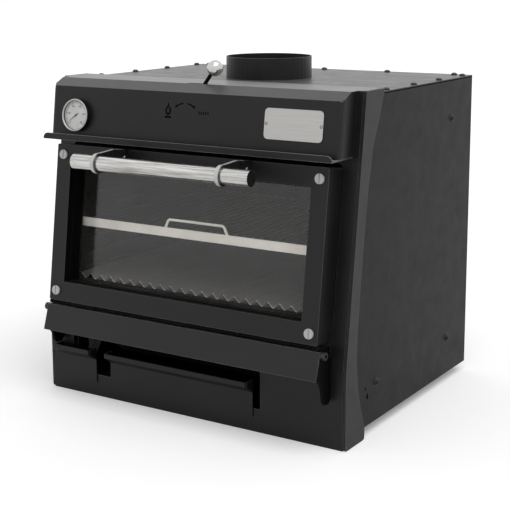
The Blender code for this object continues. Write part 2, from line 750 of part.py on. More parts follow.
def outer_panels():
    """Side, rear, roof and floor panels."""
    front = [(y + FRONT_SHEET_WALL / COS_LEAN + SEAT_GAP, z) for y, z in front_line() if z > FLOOR_HEIGHT]
    low, high = FLOOR_HEIGHT, ROOF_UNDER_Z - SEAT_GAP
    start = (front[0][0], low)
    end = (slope_y(high, -FRONT_SHEET_WALL) + SEAT_GAP, high)
    outline = [start] + [p for p in front if p[1] < high] + [end, (BODY_DEPTH, high), (BODY_DEPTH, low)]
    for side, name in SIDES:
        panel = plate("side_panel_" + name, [outline], PANEL_WALL,
                      (side * (PANEL_INNER_X + PANEL_WALL / 2), 0.0, 0.0),
                      FACING_RIGHT, "black_paint")
        combine(panel, [side_screws(side)], "UNION")
    inner = PANEL_INNER_X - SEAT_GAP
    rear = box("rear_panel", (-inner, BODY_DEPTH - PANEL_WALL, low), (inner, BODY_DEPTH, high), "black_paint")
    combine(rear, [rear_screws()], "UNION")
    floor = box("floor_panel", (-inner, FRONT_SHEET_WALL + SEAT_GAP, low),
                (inner, BODY_DEPTH - PANEL_WALL - SEAT_GAP, low + FLOOR_WALL), "black_paint")
    combine(floor, [floor_rails()], "UNION")
    roof_front = slope_y(ROOF_Z, -FRONT_SHEET_WALL) + SEAT_GAP
    hole = [(x, y + FLUE_Y) for x, y in arc((0.0, 0.0), FLUE_RADIUS - FLUE_WALL, 0, 360,
                                            LARGE_ROUND_SIDES)[:-1]]
    outline = rectangle((-SHEET_HALF_WIDTH, roof_front), (SHEET_HALF_WIDTH, BODY_DEPTH))
    middle = Matrix.Translation((0.0, 0.0, ROOF_Z - ROOF_WALL / 2))
    roof = solids("roof_panel", [(plate_shape([outline, hole], ROOF_WALL), middle)], BODY, "black_paint",
                  False)
    combine(roof, roof_screws(), "UNION")
    height = FLOOR_HEIGHT - SEAT_GAP
    for side, name in SIDES:
        place = Matrix.Translation((side * FOOT_X, BODY_DEPTH - FOOT_INSET, height / 2))
        solids("rear_foot_" + name, [(cylinder_shape(FOOT_RADIUS, height, ROUND_SIDES), place)], BODY,
               "black_cap")


def floor_rails():
    """Rails on the floor panel: two under the ash drawer and one under the air slide."""
    floor = FLOOR_HEIGHT + FLOOR_WALL / 2
    front = FRONT_SHEET_WALL + 2 * SEAT_GAP
    left, right = tray_sides()
    rails = []
    for low_x in (left, right - RUNNER_WIDTH):
        rails.append(box_shape((low_x, front, floor), (low_x + RUNNER_WIDTH, TRAY_LENGTH,
                                                       TRAY_LOW_Z - SEAT_GAP)))
    air_back = FRONT_SHEET_WALL + RUNNING_GAP + AIR_BACK_WALL + AIR_RAIL_DEPTH
    rails.append(box_shape((-PANEL_INNER_X + 2 * SEAT_GAP, front, floor),
                           (AIR_RAIL_RIGHT, air_back, AIR_BACK_LOW_Z - SEAT_GAP)))
    return solids("floor_rail_guide", [(rail, Matrix.Identity(4)) for rail in rails], BODY, None, False)


def roof_screws():
    """Button heads along both sides and the back of the roof."""
    places = []
    for index in range(ROOF_ROW_COUNT):
        for side, _ in SIDES:
            places.append((side * (HALF_WIDTH - ROOF_ROW_INSET), ROOF_ROW_FIRST_Y + index * ROOF_ROW_PITCH))
    for index in range(ROOF_BACK_COUNT):
        places.append(((index - (ROOF_BACK_COUNT - 1) / 2) * ROOF_BACK_PITCH, BODY_DEPTH - ROOF_BACK_INSET))
    heads = []
    for x, y in places:
        shape = button_head(BUTTON_RADIUS, ROOF_BUTTON_HEIGHT)
        heads.append(solids("roof_screw_guide", [(shape, Matrix.Translation((x, y, ROOF_Z)))], BODY, None))
    return heads


def side_screws(side):
    """Button heads on washers, low and high on a side panel."""
    turn = Matrix.Rotation(side * math.pi / 2, 4, "Y")
    profile = [(BUTTON_RADIUS / 2, WASHER_WALL + BUTTON_HEIGHT),
               (BUTTON_RADIUS, WASHER_WALL + BUTTON_HEIGHT / 2),
               (BUTTON_RADIUS, WASHER_WALL), (WASHER_RADIUS, WASHER_WALL), (WASHER_RADIUS, -HEAD_SINK)]
    heads = []
    for y, z in SIDE_SCREW_PLACES:
        place = Matrix.Translation((side * SHEET_HALF_WIDTH, y, z))
        heads.append((lathed_shape(profile, ROUND_SIDES), place @ turn))
    return solids("side_screw_guide", heads, BODY, None)


def rear_screws():
    """Button heads down both sides of the rear panel."""
    heads = []
    low, high = FLOOR_HEIGHT + REAR_SCREW_INSET, ROOF_UNDER_Z - REAR_SCREW_INSET
    turn = Matrix.Rotation(-math.pi / 2, 4, "X")
    for side, _ in SIDES:
        for index in range(REAR_SCREW_ROWS):
            z = low + (high - low) * index / (REAR_SCREW_ROWS - 1)
            place = Matrix.Translation((side * (PANEL_INNER_X - REAR_SCREW_INSET), BODY_DEPTH, z))
            heads.append((button_head(BUTTON_RADIUS, BUTTON_HEIGHT), place @ turn))
    return solids("rear_screw_guide", heads, BODY, None)


# Fume hood with its drip lip
def hood_profile(inset):
    """(y, z) outline of the hood, drawn in by the inset on every side that shows."""
    low = HOOD_LOW_Z
    bend_y = slope_y(HOOD_BEND_Z) - HOOD_FORWARD
    top_y = slope_y(FRAME_HEIGHT)
    slant = math.atan2(FRAME_HEIGHT - HOOD_BEND_Z, top_y - HOOD_TOP_BACK - bend_y)
    turn = inset * math.tan((math.pi / 2 - LEAN - slant) / 2)
    top_turn = inset * math.tan(slant / 2)
    bend = (bend_y + inset, HOOD_BEND_Z - turn)
    crest = (top_y - HOOD_TOP_BACK + top_turn, FRAME_HEIGHT - inset)
    back = top_y - SEAT_GAP - inset * math.tan(LEAN)
    return [(slope_y(low) - HOOD_FORWARD + inset / COS_LEAN, low), (slope_y(low) - SEAT_GAP, low),
            (back, FRAME_HEIGHT - inset), crest, bend]


def hood():
    """Bent shell open at the bottom and towards the body, with a slot for the damper lever."""
    outer = to_mesh(plate("hood_shell", [hood_profile(0.0)], 2 * HOOD_HALF_WIDTH, (0.0, 0.0, 0.0),
                          FACING_RIGHT, "black_paint"))
    round_vertical_edges(outer, HOOD_CORNER_RADIUS)
    inner_profile = hood_profile(HOOD_WALL)
    inner_profile[0] = (inner_profile[0][0] - CUT_OVERRUN * math.tan(LEAN), HOOD_LOW_Z - CUT_OVERRUN)
    inner_profile[1] = (slope_y(HOOD_LOW_Z) + CUT_OVERRUN, HOOD_LOW_Z - CUT_OVERRUN)
    inner_profile[2] = (inner_profile[2][0] + 2 * CUT_OVERRUN, inner_profile[2][1])
    inner = to_mesh(plate("hood_hollow_cutter", [inner_profile], 2 * (HOOD_HALF_WIDTH - HOOD_WALL),
                          (0.0, 0.0, 0.0), FACING_RIGHT, None))
    round_vertical_edges(inner, HOOD_CORNER_RADIUS - HOOD_WALL)
    slot = plate("lever_slot_cutter",
                 [rounded_rectangle((-LEVER_SLOT_HALF_LENGTH, -LEVER_SLOT_HALF_WIDTH),
                                    (LEVER_SLOT_HALF_LENGTH, LEVER_SLOT_HALF_WIDTH),
                                    LEVER_SLOT_HALF_WIDTH - SEAT_GAP)],
                 HOOD_WALL + 2 * CUT_OVERRUN, (0.0, LEVER_Y, FRAME_HEIGHT - HOOD_WALL / 2), FLAT, None)
    combine(outer, [inner, slot], "DIFFERENCE")
    lip_back = slope_y(HOOD_LOW_Z - LIP_WALL - SEAT_GAP) - SEAT_GAP
    front = slope_y(HOOD_LOW_Z) - LIP_FORWARD
    edge = rounded_lip(front, lip_back)
    ledge_top = HOOD_LOW_Z - SEAT_GAP
    ledge = plate("hood_lip", [edge + list(reversed(rounded_lip_inner(front, lip_back)))], LIP_WALL,
                  (0.0, 0.0, ledge_top - LIP_WALL / 2), FLAT, "black_paint")
    rise = LIP_RISE + LIP_WALL
    corner = LIP_CORNER_RADIUS - LIP_WALL
    outline = [(-LIP_HALF_WIDTH, 0.0), (LIP_HALF_WIDTH, 0.0)]
    outline += arc((LIP_HALF_WIDTH - corner, rise - corner), corner, 0, 90, CORNER_STEPS)
    outline += arc((corner - LIP_HALF_WIDTH, rise - corner), corner, 90, 180, CORNER_STEPS)
    flange = plate("hood_lip_flange", [outline], LIP_WALL, (0.0, front - LIP_WALL / 2 + SEAT_GAP,
                                                            ledge_top - LIP_WALL),
                   FACING_FRONT, None)
    combine(ledge, [flange], "UNION")


def rounded_lip(front, back):
    return [(-LIP_HALF_WIDTH, back), (-LIP_HALF_WIDTH, front), (LIP_HALF_WIDTH, front),
            (LIP_HALF_WIDTH, back)]


def rounded_lip_inner(front, back):
    """Inner edge of the ledge: the hood is open above the door."""
    inner = HOOD_HALF_WIDTH - HOOD_CORNER_RADIUS - HOOD_WALL
    depth = slope_y(HOOD_LOW_Z) - HOOD_FORWARD + HOOD_CORNER_RADIUS
    return [(-inner, back), (-inner, depth), (inner, depth), (inner, back)]


def round_vertical_edges(made, radius):
    """Round the front corners of a hood-shaped solid by a weighted bevel."""
    mesh = made.data
    shape = bmesh.new()
    shape.from_mesh(mesh)
    weight = shape.edges.layers.float.new("bevel_weight_edge")
    front_y = min(v.co.x for v in shape.verts)
    for edge in shape.edges:
        same_side = abs(edge.verts[0].co.z - edge.verts[1].co.z) < SEAT_GAP
        steep = abs(edge.verts[0].co.y - edge.verts[1].co.y) > HOOD_CORNER_RADIUS
        ahead = max(v.co.x for v in edge.verts) < front_y + HOOD_FORWARD / 2
        if same_side and steep and ahead:
            edge[weight] = 1.0
    shape.to_mesh(mesh)
    shape.free()
    bevel = made.modifiers.new("round_corner", "BEVEL")
    bevel.limit_method = "WEIGHT"
    bevel.width = radius
    bevel.segments = CORNER_STEPS
    return made


# Door, its window and its hinge
def door_plate(name, outer, inner, out_low, out_high, surface):
    """Plate or ring of the door, its loops given up the lean, between two distances out of it."""
    loops = [[(x, y - HINGE_UP) for x, y in loop] for loop in (outer, inner) if loop]
    place = (0.0, -(out_low + out_high) / 2, HINGE_UP)
    return plate(name, loops, out_high - out_low, place, FACING_FRONT, surface, DOOR)


def door_loop(inset):
    """Outline of the door, drawn in by the inset."""
    return rounded_rectangle((-DOOR_HALF_WIDTH + inset, DOOR_LOW + inset),
                             (DOOR_HALF_WIDTH - inset, DOOR_HIGH - inset),
                             max(DOOR_EDGE_RADIUS, inset / 2) if inset > DOOR_SIDE_WALL else DOOR_EDGE_RADIUS)


def window_loop(margin):
    """Outline of the window, let out by the margin."""
    return rounded_rectangle((-WINDOW_HALF_WIDTH - margin, WINDOW_LOW - margin),
                             (WINDOW_HALF_WIDTH + margin, WINDOW_HIGH + margin),
                             WINDOW_RADIUS + max(margin, 0.0))


def door():
    """Tray-shaped shell with a deep window recess, a clamped pane and a seal behind."""
    face_back = DOOR_FACE_OUT - DOOR_FACE_WALL
    bead_out = DOOR_FACE_OUT - WINDOW_BEAD_BACK
    back_out = DOOR_BACK_WALL + SEAT_GAP
    face = door_plate("door_shell", door_loop(0.0), window_loop(0.0), face_back, DOOR_FACE_OUT, "black_paint")
    sides = door_plate("door_sides", door_loop(0.0), door_loop(DOOR_SIDE_WALL), back_out + SEAT_GAP,
                       face_back + DOOR_FACE_WALL / 2, None)
    liner = door_plate("door_liner_guide", window_loop(WINDOW_LINER_WALL), window_loop(0.0),
                       PANE_OUT + SEAT_GAP,
                       DOOR_FACE_OUT - SEAT_GAP, None)
    combine(face, [sides, liner, door_knuckles()], "UNION")
    door_plate("door_window_bead", window_loop(-SEAT_GAP), window_loop(-WINDOW_BEAD_HEIGHT),
               bead_out - WINDOW_BEAD_WIDTH, bead_out, "stainless")
    door_plate("door_glass", window_loop(PANE_MARGIN), None, PANE_OUT - PANE_WALL, PANE_OUT, "glass")
    door_plate("door_back_frame", door_loop(0.0), window_loop(0.0), SEAT_GAP, back_out, "black_paint")
    door_plate("door_seal", door_loop(DOOR_SEAL_INSET), door_loop(DOOR_SEAL_INSET + DOOR_SEAL_WIDTH),
               MOUTH_OUT + RUNNING_GAP, 0.0, "seal_rope")


def door_screws():
    """Large slotted screws at the door's corners."""
    for side, side_name in SIDES:
        for up, up_name in ((DOOR_SCREW_LOW, "low"), (DOOR_SCREW_HIGH, "high")):
            place = Matrix.Translation((side * DOOR_SCREW_X, -DOOR_FACE_OUT - SEAT_GAP, up))
            shape = (slotted_head(), place @ Matrix.Rotation(math.pi / 2, 4, "X"))
            solids("door_screw_" + side_name + "_" + up_name, [shape], DOOR, "stainless")


def slotted_head():
    """Flat head with a straight slot, standing on Z = 0: two half discs on a thin base."""
    base = DOOR_SCREW_HEAD - DOOR_SCREW_SLOT_DEPTH
    half = DOOR_SCREW_SLOT / 2
    radius = DOOR_SCREW_RADIUS
    edge = math.degrees(math.asin(half / radius))
    steps = LARGE_ROUND_SIDES // 4
    shape = bmesh.new()
    right = arc((0.0, 0.0), radius, -90 + edge, 90 - edge, steps)
    left = arc((0.0, 0.0), radius, 90 + edge, 270 - edge, steps)
    base_low = [shape.verts.new((x, y, 0.0)) for x, y in right + left]
    base_high = [shape.verts.new((x, y, base)) for x, y in right + left]
    top = [shape.verts.new((x, y, DOOR_SCREW_HEAD)) for x, y in right + left]
    count = len(right)
    shape.faces.new(list(reversed(base_low)))
    for index in range(2 * count):
        after = (index + 1) % (2 * count)
        shape.faces.new((base_low[index], base_low[after], base_high[after], base_high[index]))
    for start in (0, count):
        for index in range(start, start + count - 1):
            shape.faces.new((base_high[index], base_high[index + 1], top[index + 1], top[index]))
        shape.faces.new(top[start:start + count])
        last = start + count - 1
        shape.faces.new((base_high[last], base_high[start], top[start], top[last]))
    shape.faces.new((base_high[0], base_high[count - 1], base_high[count], base_high[2 * count - 1]))
    return shape


def hinge():
    """Rod along the door's lower front edge, knuckles on the door and lugs on the body."""
    axis = slope_place(HINGE_OUT, HINGE_UP)
    rod = cylinder_shape(HINGE_ROD_RADIUS, 2 * lug_outer_x() + LUG_WALL, SMALL_ROUND_SIDES, "X")
    smooth(mesh_object("door_hinge_rod", rod, BODY, (0.0, *axis), FLAT, "stainless"))


def door_knuckles():
    """Hinge barrels, each with a short web welded to the door's lower side."""
    bush = arc((0.0, 0.0), KNUCKLE_RADIUS, 180, 360, ROUND_SIDES // 2)
    web = DOOR_LOW + DOOR_SIDE_WALL / 2 - HINGE_UP
    outline = bush + [(KNUCKLE_RADIUS, web), (-KNUCKLE_RADIUS, web)]
    hole = arc((0.0, 0.0), HINGE_ROD_RADIUS + RUNNING_GAP, 0, 360, ROUND_SIDES)[:-1]
    knuckles = []
    for x in (-KNUCKLE_X, 0.0, KNUCKLE_X):
        knuckles.append((plate_shape([outline, hole], KNUCKLE_LENGTH),
                         Matrix.Translation((x, -HINGE_OUT, HINGE_UP)) @ TO_RIGHT))
    return solids("knuckle_guide", knuckles, DOOR, None)


def lug_outer_x():
    return FLAP_HALF_WIDTH - WING_WALL - RUNNING_GAP - LUG_WALL / 2


def hinge_lugs():
    """Lugs standing out of the front sheet: all carry the rod, the outer two the flap's pins as well."""
    axis = slope_place(HINGE_OUT, HINGE_UP)
    pin = (FLAP_PIN_Y, FLAP_PIN_Z)
    rod_hole = arc(axis, HINGE_ROD_RADIUS + RUNNING_GAP, 0, 360, ROUND_SIDES)[:-1]
    pin_hole = arc(pin, FLAP_PIN_RADIUS + RUNNING_GAP, 0, 360, ROUND_SIDES)[:-1]
    arm_low = axis[1] - KNUCKLE_RADIUS
    arm_high = axis[1] - HINGE_ROD_RADIUS
    boss = arc(axis, KNUCKLE_RADIUS, 0, 270, ROUND_SIDES)
    root_high = slope_place(0.0, OPENING_LOW)[1] - SEAT_GAP
    low, inner_low, high = [(slope_y(z, -FRONT_SHEET_WALL / 2), z) for z in (LUG_LOW_Z, LUG_INNER_LOW_Z,
                                                                             root_high)]
    top = [high, (axis[0] + KNUCKLE_RADIUS, arm_high)]
    notch = arc(pin, LUG_NOTCH_RADIUS, LUG_NOTCH_DEG, LUG_NOTCH_DEG, 1)[:1]
    neck = boss + [(notch[0][0], arm_low)] + notch
    inner = neck + [(pin[0] + LUG_NOTCH_RADIUS, pin[1]), inner_low] + top
    outer = neck + arc(pin, PIN_BOSS_RADIUS, LUG_NOTCH_DEG, 270, ROUND_SIDES) + [low] + top
    lugs = []
    for side in (-1, 1):
        for x, loops in ((LUG_INNER_X, [inner, rod_hole]), (lug_outer_x(), [outer, rod_hole, pin_hole])):
            lugs.append((plate_shape(loops, LUG_WALL), Matrix.Translation((side * x, 0.0, 0.0)) @ TO_RIGHT))
    return solids("lug_guide", lugs, BODY, None, False)


# Handle: a polished tube held by two ring brackets
def handle():
    ring = HANDLE_RADIUS + BRACKET_RING_WALL
    centre = (-HANDLE_OUT, HANDLE_UP)
    foot = -DOOR_FACE_OUT - SEAT_GAP
    hole = arc(centre, HANDLE_RADIUS + SEAT_GAP, 0, 360, LARGE_ROUND_SIDES // 2)[:-1]
    outline = [(foot, HANDLE_UP - BRACKET_FALL), (foot, HANDLE_UP + BRACKET_RISE),
               (-DOOR_FACE_OUT - BRACKET_SHOULDER, HANDLE_UP + BRACKET_RISE)]
    outline += arc(centre, ring, 85, 305, ROUND_SIDES)
    turn = math.pi / 2
    for side, name in SIDES:
        x = side * BRACKET_X + BRACKET_SHIFT
        heads = []
        for face in (-1, 1):
            place = Matrix.Translation((x + face * BRACKET_WALL / 2, -DOOR_FACE_OUT - BRACKET_SCREW_OUT,
                                        HANDLE_UP + BRACKET_SCREW_UP))
            heads.append((button_head(BRACKET_SCREW_RADIUS, BRACKET_SCREW_HEAD),
                          place @ Matrix.Rotation(face * turn, 4, "Y")))
        bracket = solids("handle_bracket_" + name,
                         [(plate_shape([outline, hole], BRACKET_WALL),
                           Matrix.Translation((x, 0.0, 0.0)) @ TO_RIGHT)],
                         DOOR, "stainless")
        smooth(combine(bracket, [solids("bracket_screw_guide", heads, DOOR, None)], "UNION"))
    half = HANDLE_HALF_LENGTH
    inner = HANDLE_RADIUS - HANDLE_WALL
    place = (HANDLE_SHIFT, -HANDLE_OUT, HANDLE_UP)
    tube = turned("handle_tube", [(HANDLE_RADIUS, half), (HANDLE_RADIUS, -half), (inner, -half),
                                  (inner, half),
                                  (HANDLE_RADIUS, half)], LARGE_ROUND_SIDES // 2, DOOR, place,
                  (0.0, turn, 0.0), "stainless")
    smooth(to_mesh(tube))
    for side, name in SIDES:
        cap_x = HANDLE_SHIFT + side * (half - HANDLE_CAP_WALL)
        shape = cylinder_shape(inner - SEAT_GAP, 2 * HANDLE_CAP_WALL, LARGE_ROUND_SIDES // 2, "X")
        solids("handle_cap_" + name, [(shape, Matrix.Translation((cap_x, -HANDLE_OUT, HANDLE_UP)))], DOOR,
               "black_cap")


# Ember flap that tilts on two pins under the door
def flap():
    wall = FLAP_WALL
    lean = math.atan2(FLAP_TOP_Y - FLAP_LOW_Y, FLAP_TOP_Z - FLAP_LOW_Z)
    shift = wall / math.cos(lean)
    top_back = FLAP_TOP_Y + shift
    plate_line = [(FLAP_TOP_Y, FLAP_TOP_Z), (FLAP_LOW_Y, FLAP_LOW_Z), (FLAP_LOW_Y + shift, FLAP_LOW_Z),
                  (top_back, FLAP_TOP_Z)]
    sheet = flap_extrusion("flap_plate", plate_line, FLAP_HALF_WIDTH, "black_paint")
    ledge_line = [(FLAP_TOP_Y + wall / 2, FLAP_TOP_Z - wall), (FLAP_TOP_Y + FLAP_LEDGE_DEPTH,
                                                               FLAP_TOP_Z - wall),
                  (FLAP_TOP_Y + FLAP_LEDGE_DEPTH, FLAP_TOP_Z), (FLAP_TOP_Y + wall / 2, FLAP_TOP_Z)]
    ledge = flap_extrusion("flap_ledge", ledge_line, FLAP_LEDGE_HALF_WIDTH, None)
    combine(sheet, [ledge], "UNION")
    pin = (FLAP_PIN_Y, FLAP_PIN_Z)
    hole = arc(pin, FLAP_PIN_RADIUS + RUNNING_GAP, 0, 360, ROUND_SIDES)[:-1]
    back = SEAT_GAP / math.cos(lean)
    top = [(top_back + back, FLAP_TOP_Z), (FLAP_PIN_Y, FLAP_TOP_Z)] + arc(pin, WING_BOSS_RADIUS, 60, 30, 2)
    top += [(slope_y(WING_BACK_TOP_Z) - WING_SHEET_GAP, WING_BACK_TOP_Z), (-WING_SHEET_GAP, KINK_HEIGHT)]
    for side, name in SIDES:
        tip = WING_TIP_Z if side > 0 else WING_TIP_OVER_SLIDE_Z
        edge = [(FLAP_LOW_Y * y, tip + (FLAP_LOW_Z - tip) * z) for y, z in WING_EDGE_SHARES]
        outline = top + [(-WING_SHEET_GAP, tip + WING_BOSS_RADIUS)] + smooth_through(edge, 2)
        outline += [(FLAP_LOW_Y + shift + back, FLAP_LOW_Z)]
        place = Matrix.Translation((side * (FLAP_HALF_WIDTH - WING_WALL / 2), 0.0, 0.0)) @ TO_RIGHT
        solids("flap_wing_" + name, [(plate_shape([outline, hole], WING_WALL), place)], FLAP, "black_paint",
               False)
    flap_pins(pin)


def flap_extrusion(name, line, half_width, surface):
    line = [(y - FLAP_PIN_Y, z - FLAP_PIN_Z) for y, z in line]
    return plate(name, [line], 2 * half_width, (0.0, FLAP_PIN_Y, FLAP_PIN_Z), FACING_RIGHT, surface, FLAP)


def flap_pins(pin):
    """Socket-headed shoulder screws, through the wings into the outer lugs."""
    inner_x = lug_outer_x() - LUG_WALL / 2
    base_x = FLAP_HALF_WIDTH + RUNNING_GAP
    for side, name in SIDES:
        profile = [(FLAP_PIN_SOCKET_RADIUS, base_x + FLAP_PIN_HEAD - FLAP_PIN_SOCKET_DEPTH),
                   (FLAP_PIN_SOCKET_RADIUS, base_x + FLAP_PIN_HEAD),
                   (FLAP_PIN_HEAD_RADIUS, base_x + FLAP_PIN_HEAD), (FLAP_PIN_HEAD_RADIUS, base_x),
                   (FLAP_PIN_RADIUS, base_x), (FLAP_PIN_RADIUS, inner_x)]
        place = Matrix.Translation((0.0, *pin)) @ Matrix.Rotation(side * math.pi / 2, 4, "Y")
        solids("flap_pin_" + name, [(lathed_shape(profile, ROUND_SIDES), place)], BODY, "stainless")


# Cooking chamber
def chamber():
    low, high = LINER_LOW_Z, LINER_HIGH_Z
    back = LINER_BACK_Y - SEAT_GAP
    low_front = FRONT_SHEET_WALL + MOUTH_WALL + 2 * SEAT_GAP
    wall = LINER_WALL
    outline = [(low_front, low), (low_front, KINK_HEIGHT), (slope_y(high, LINER_OUT), high), (back, high),
               (back, low)]
    for side, name in SIDES:
        plate("chamber_" + name, [outline], wall, (side * (LINER_HALF_WIDTH + wall / 2), 0.0, 0.0),
              FACING_RIGHT,
              "chamber_steel")
    outer = LINER_HALF_WIDTH + wall
    box("chamber_back", (-outer, LINER_BACK_Y, low), (outer, LINER_BACK_Y + wall, high), "chamber_steel")
    throat = rectangle((-THROAT_HALF_WIDTH, FLUE_Y - THROAT_HALF_DEPTH),
                       (THROAT_HALF_WIDTH, FLUE_Y + THROAT_HALF_DEPTH))
    top = rectangle((-outer, slope_y(high + wall, LINER_OUT) + SEAT_GAP), (outer, LINER_BACK_Y + wall))
    plate("chamber_top", [top, throat], wall, (0.0, 0.0, high + SEAT_GAP + wall / 2), FLAT, "chamber_steel")
    mouth_outer = OPENING_HALF_WIDTH + MOUTH_OUTER_MARGIN
    mouth_inner = OPENING_HALF_WIDTH - MOUTH_LAP
    loops = [
        rectangle((-mouth_outer, 2 * MOUTH_WALL), (mouth_outer, OPENING_HIGH + 2 * MOUTH_OUTER_MARGIN)),
        rounded_rectangle((-mouth_inner, OPENING_LOW + MOUTH_LAP), (mouth_inner, OPENING_HIGH - MOUTH_LAP),
                          MOUTH_LAP),
    ]
    plate("mouth_frame", loops, MOUTH_WALL, (0.0, -MOUTH_OUT + MOUTH_WALL / 2, 0.0), FACING_FRONT,
          "chamber_steel", SLOPE)
    insulation(outer)


def insulation(chamber_half_width):
    """Fibre blankets between the chamber and the outer panels: two sides, rear and top."""
    inner_x = PANEL_INNER_X - 2 * SEAT_GAP
    side_x = chamber_half_width + SEAT_GAP
    floor = FLOOR_HEIGHT + FLOOR_WALL + SEAT_GAP
    top = LINER_HIGH_Z + LINER_WALL + 2 * SEAT_GAP
    front = slope_y(INSULATION_HIGH_Z, LINER_OUT) + SEAT_GAP
    rear = BODY_DEPTH - PANEL_WALL - SEAT_GAP
    back = LINER_BACK_Y + LINER_WALL + SEAT_GAP
    lap = top + THROAT_WALL
    boxes = [((-inner_x + SEAT_GAP, back, floor), (inner_x - SEAT_GAP, rear - SEAT_GAP, lap))]
    for side in (-1, 1):
        low_x, high_x = sorted((side * side_x, side * (inner_x - 2 * SEAT_GAP)))
        boxes.append(((low_x, front + SEAT_GAP, floor + SEAT_GAP),
                      (high_x, back + THROAT_WALL, lap - SEAT_GAP)))
    blankets = [box("blanket_guide", low, high, None) for low, high in boxes]
    outline = rectangle((-inner_x, front), (inner_x, rear))
    reach_x = THROAT_HALF_WIDTH + THROAT_WALL + SEAT_GAP
    reach_y = THROAT_HALF_DEPTH + THROAT_WALL + SEAT_GAP
    hole = rectangle((-reach_x, FLUE_Y - reach_y), (reach_x, FLUE_Y + reach_y))
    middle = Matrix.Translation((0.0, 0.0, (INSULATION_HIGH_Z + top) / 2))
    jacket = solids("insulation_jacket", [(plate_shape([outline, hole], INSULATION_HIGH_Z - top), middle)],
                    BODY, "fibre", False)
    combine(jacket, blankets, "UNION")


def ledge_place(level):
    """(front depth, top height) of a rack ledge, counted from the top."""
    top = LEDGE_HIGH_Z - level * LEDGE_PITCH
    return slope_y(top, -LEDGE_SET_BACK), top


def rack_ledges():
    """Pressed side plates with a ledge for each rack height."""
    wall_x = LINER_HALF_WIDTH - SEAT_GAP
    inner_x = wall_x - LEDGE_WIDTH
    plate_x = wall_x - LEDGE_WALL
    back = LINER_BACK_Y - SEAT_GAP
    high = ledge_place(0)[1] + LEDGE_HEIGHT
    low = ledge_place(LEDGE_COUNT - 1)[1] - LEDGE_HEIGHT - SEAT_GAP
    for side, name in SIDES:
        outline = [(slope_y(low, -LEDGE_SET_BACK), low), (slope_y(high, -LEDGE_SET_BACK), high), (back, high),
                   (back, low)]
        plates = plate("rack_ledges_" + name, [outline], LEDGE_WALL,
                       (side * (wall_x + plate_x) / 2, 0.0, 0.0),
                       FACING_RIGHT, "chamber_steel")
        ledges = []
        for level in range(LEDGE_COUNT):
            front, top = ledge_place(level)
            low_x, high_x = sorted((side * inner_x, side * (plate_x + LEDGE_WALL / 2)))
            ledges.append((box_shape((low_x, front + RUNNING_GAP, top - LEDGE_HEIGHT),
                                     (high_x, back - RUNNING_GAP, top)), Matrix.Identity(4)))
        combine(plates, [solids("ledge_guide", ledges, BODY, None, False)], "UNION")


def upper_rack():
    """Flat wire rack with a deep front rail and a pull handle."""
    seat = ledge_place(RACK_LEVEL - 1)[1] + SEAT_GAP
    top = seat + RACK_RAIL_HEIGHT
    wall = RACK_RAIL_WALL
    half = RACK_HALF_WIDTH
    rail = 3 * wall
    rail_top = seat + 2 * wall
    inner = half - rail
    front_rail = box("upper_rack", (-half, RACK_FRONT_Y, seat + SEAT_GAP), (half, RACK_FRONT_Y + wall, top),
                     "rack_steel")
    bars = [((-inner - wall, RACK_BACK_Y - rail, seat + SEAT_GAP),
             (inner + wall, RACK_BACK_Y - SEAT_GAP, rail_top - SEAT_GAP))]
    for side in (-1, 1):
        low_x, high_x = sorted((side * (half - SEAT_GAP), side * inner))
        bars.append(((low_x, RACK_FRONT_Y + wall / 2, seat), (high_x, RACK_BACK_Y, rail_top)))
    frame = [box("rack_frame_guide", low, high, None) for low, high in bars]
    count = int(2 * inner / RACK_WIRE_PITCH)
    first = -RACK_WIRE_PITCH * (count - 1) / 2
    low_y, high_y = RACK_FRONT_Y + wall / 2, RACK_BACK_Y - wall
    wires = []
    for index in range(count):
        shape = cylinder_shape(RACK_WIRE_RADIUS, high_y - low_y, 6, "Y")
        place = (first + index * RACK_WIRE_PITCH, (low_y + high_y) / 2, rail_top)
        wires.append((shape, Matrix.Translation(place)))
    wires = solids("rack_wire_guide", wires, BODY, None)
    handle_y = RACK_FRONT_Y + wall / 2
    crest = top + RACK_HANDLE_RISE - RACK_HANDLE_WIRE
    bend = RACK_HANDLE_BEND
    route = [(-RACK_HANDLE_BASE_X, top - RACK_HANDLE_WIRE)]
    route += arc((-RACK_HANDLE_TOP_X + bend, crest - bend), bend, 170, 90, CORNER_STEPS)
    route += arc((RACK_HANDLE_TOP_X - bend, crest - bend), bend, 90, 10, CORNER_STEPS)
    route += [(RACK_HANDLE_BASE_X, top - RACK_HANDLE_WIRE)]
    handle = wire("rack_handle_guide", [(x, handle_y, z) for x, z in route], RACK_HANDLE_WIRE, None)
    combine(front_rail, frame + [wires, handle], "UNION")


def wire(name, route, radius, surface):
    """Round bar along a route."""
    curve = bpy.data.curves.new(name, "CURVE")
    curve.dimensions = "3D"
    curve.bevel_depth = radius
    curve.bevel_resolution = 2
    curve.use_fill_caps = True
    spline = curve.splines.new("POLY")
    spline.points.add(len(route) - 1)
    for point, place in zip(spline.points, route):
        point.co = (*place, 1.0)
    return add(bpy.data.objects.new(name, curve), BODY, (0.0, 0.0, 0.0), FLAT, surface)


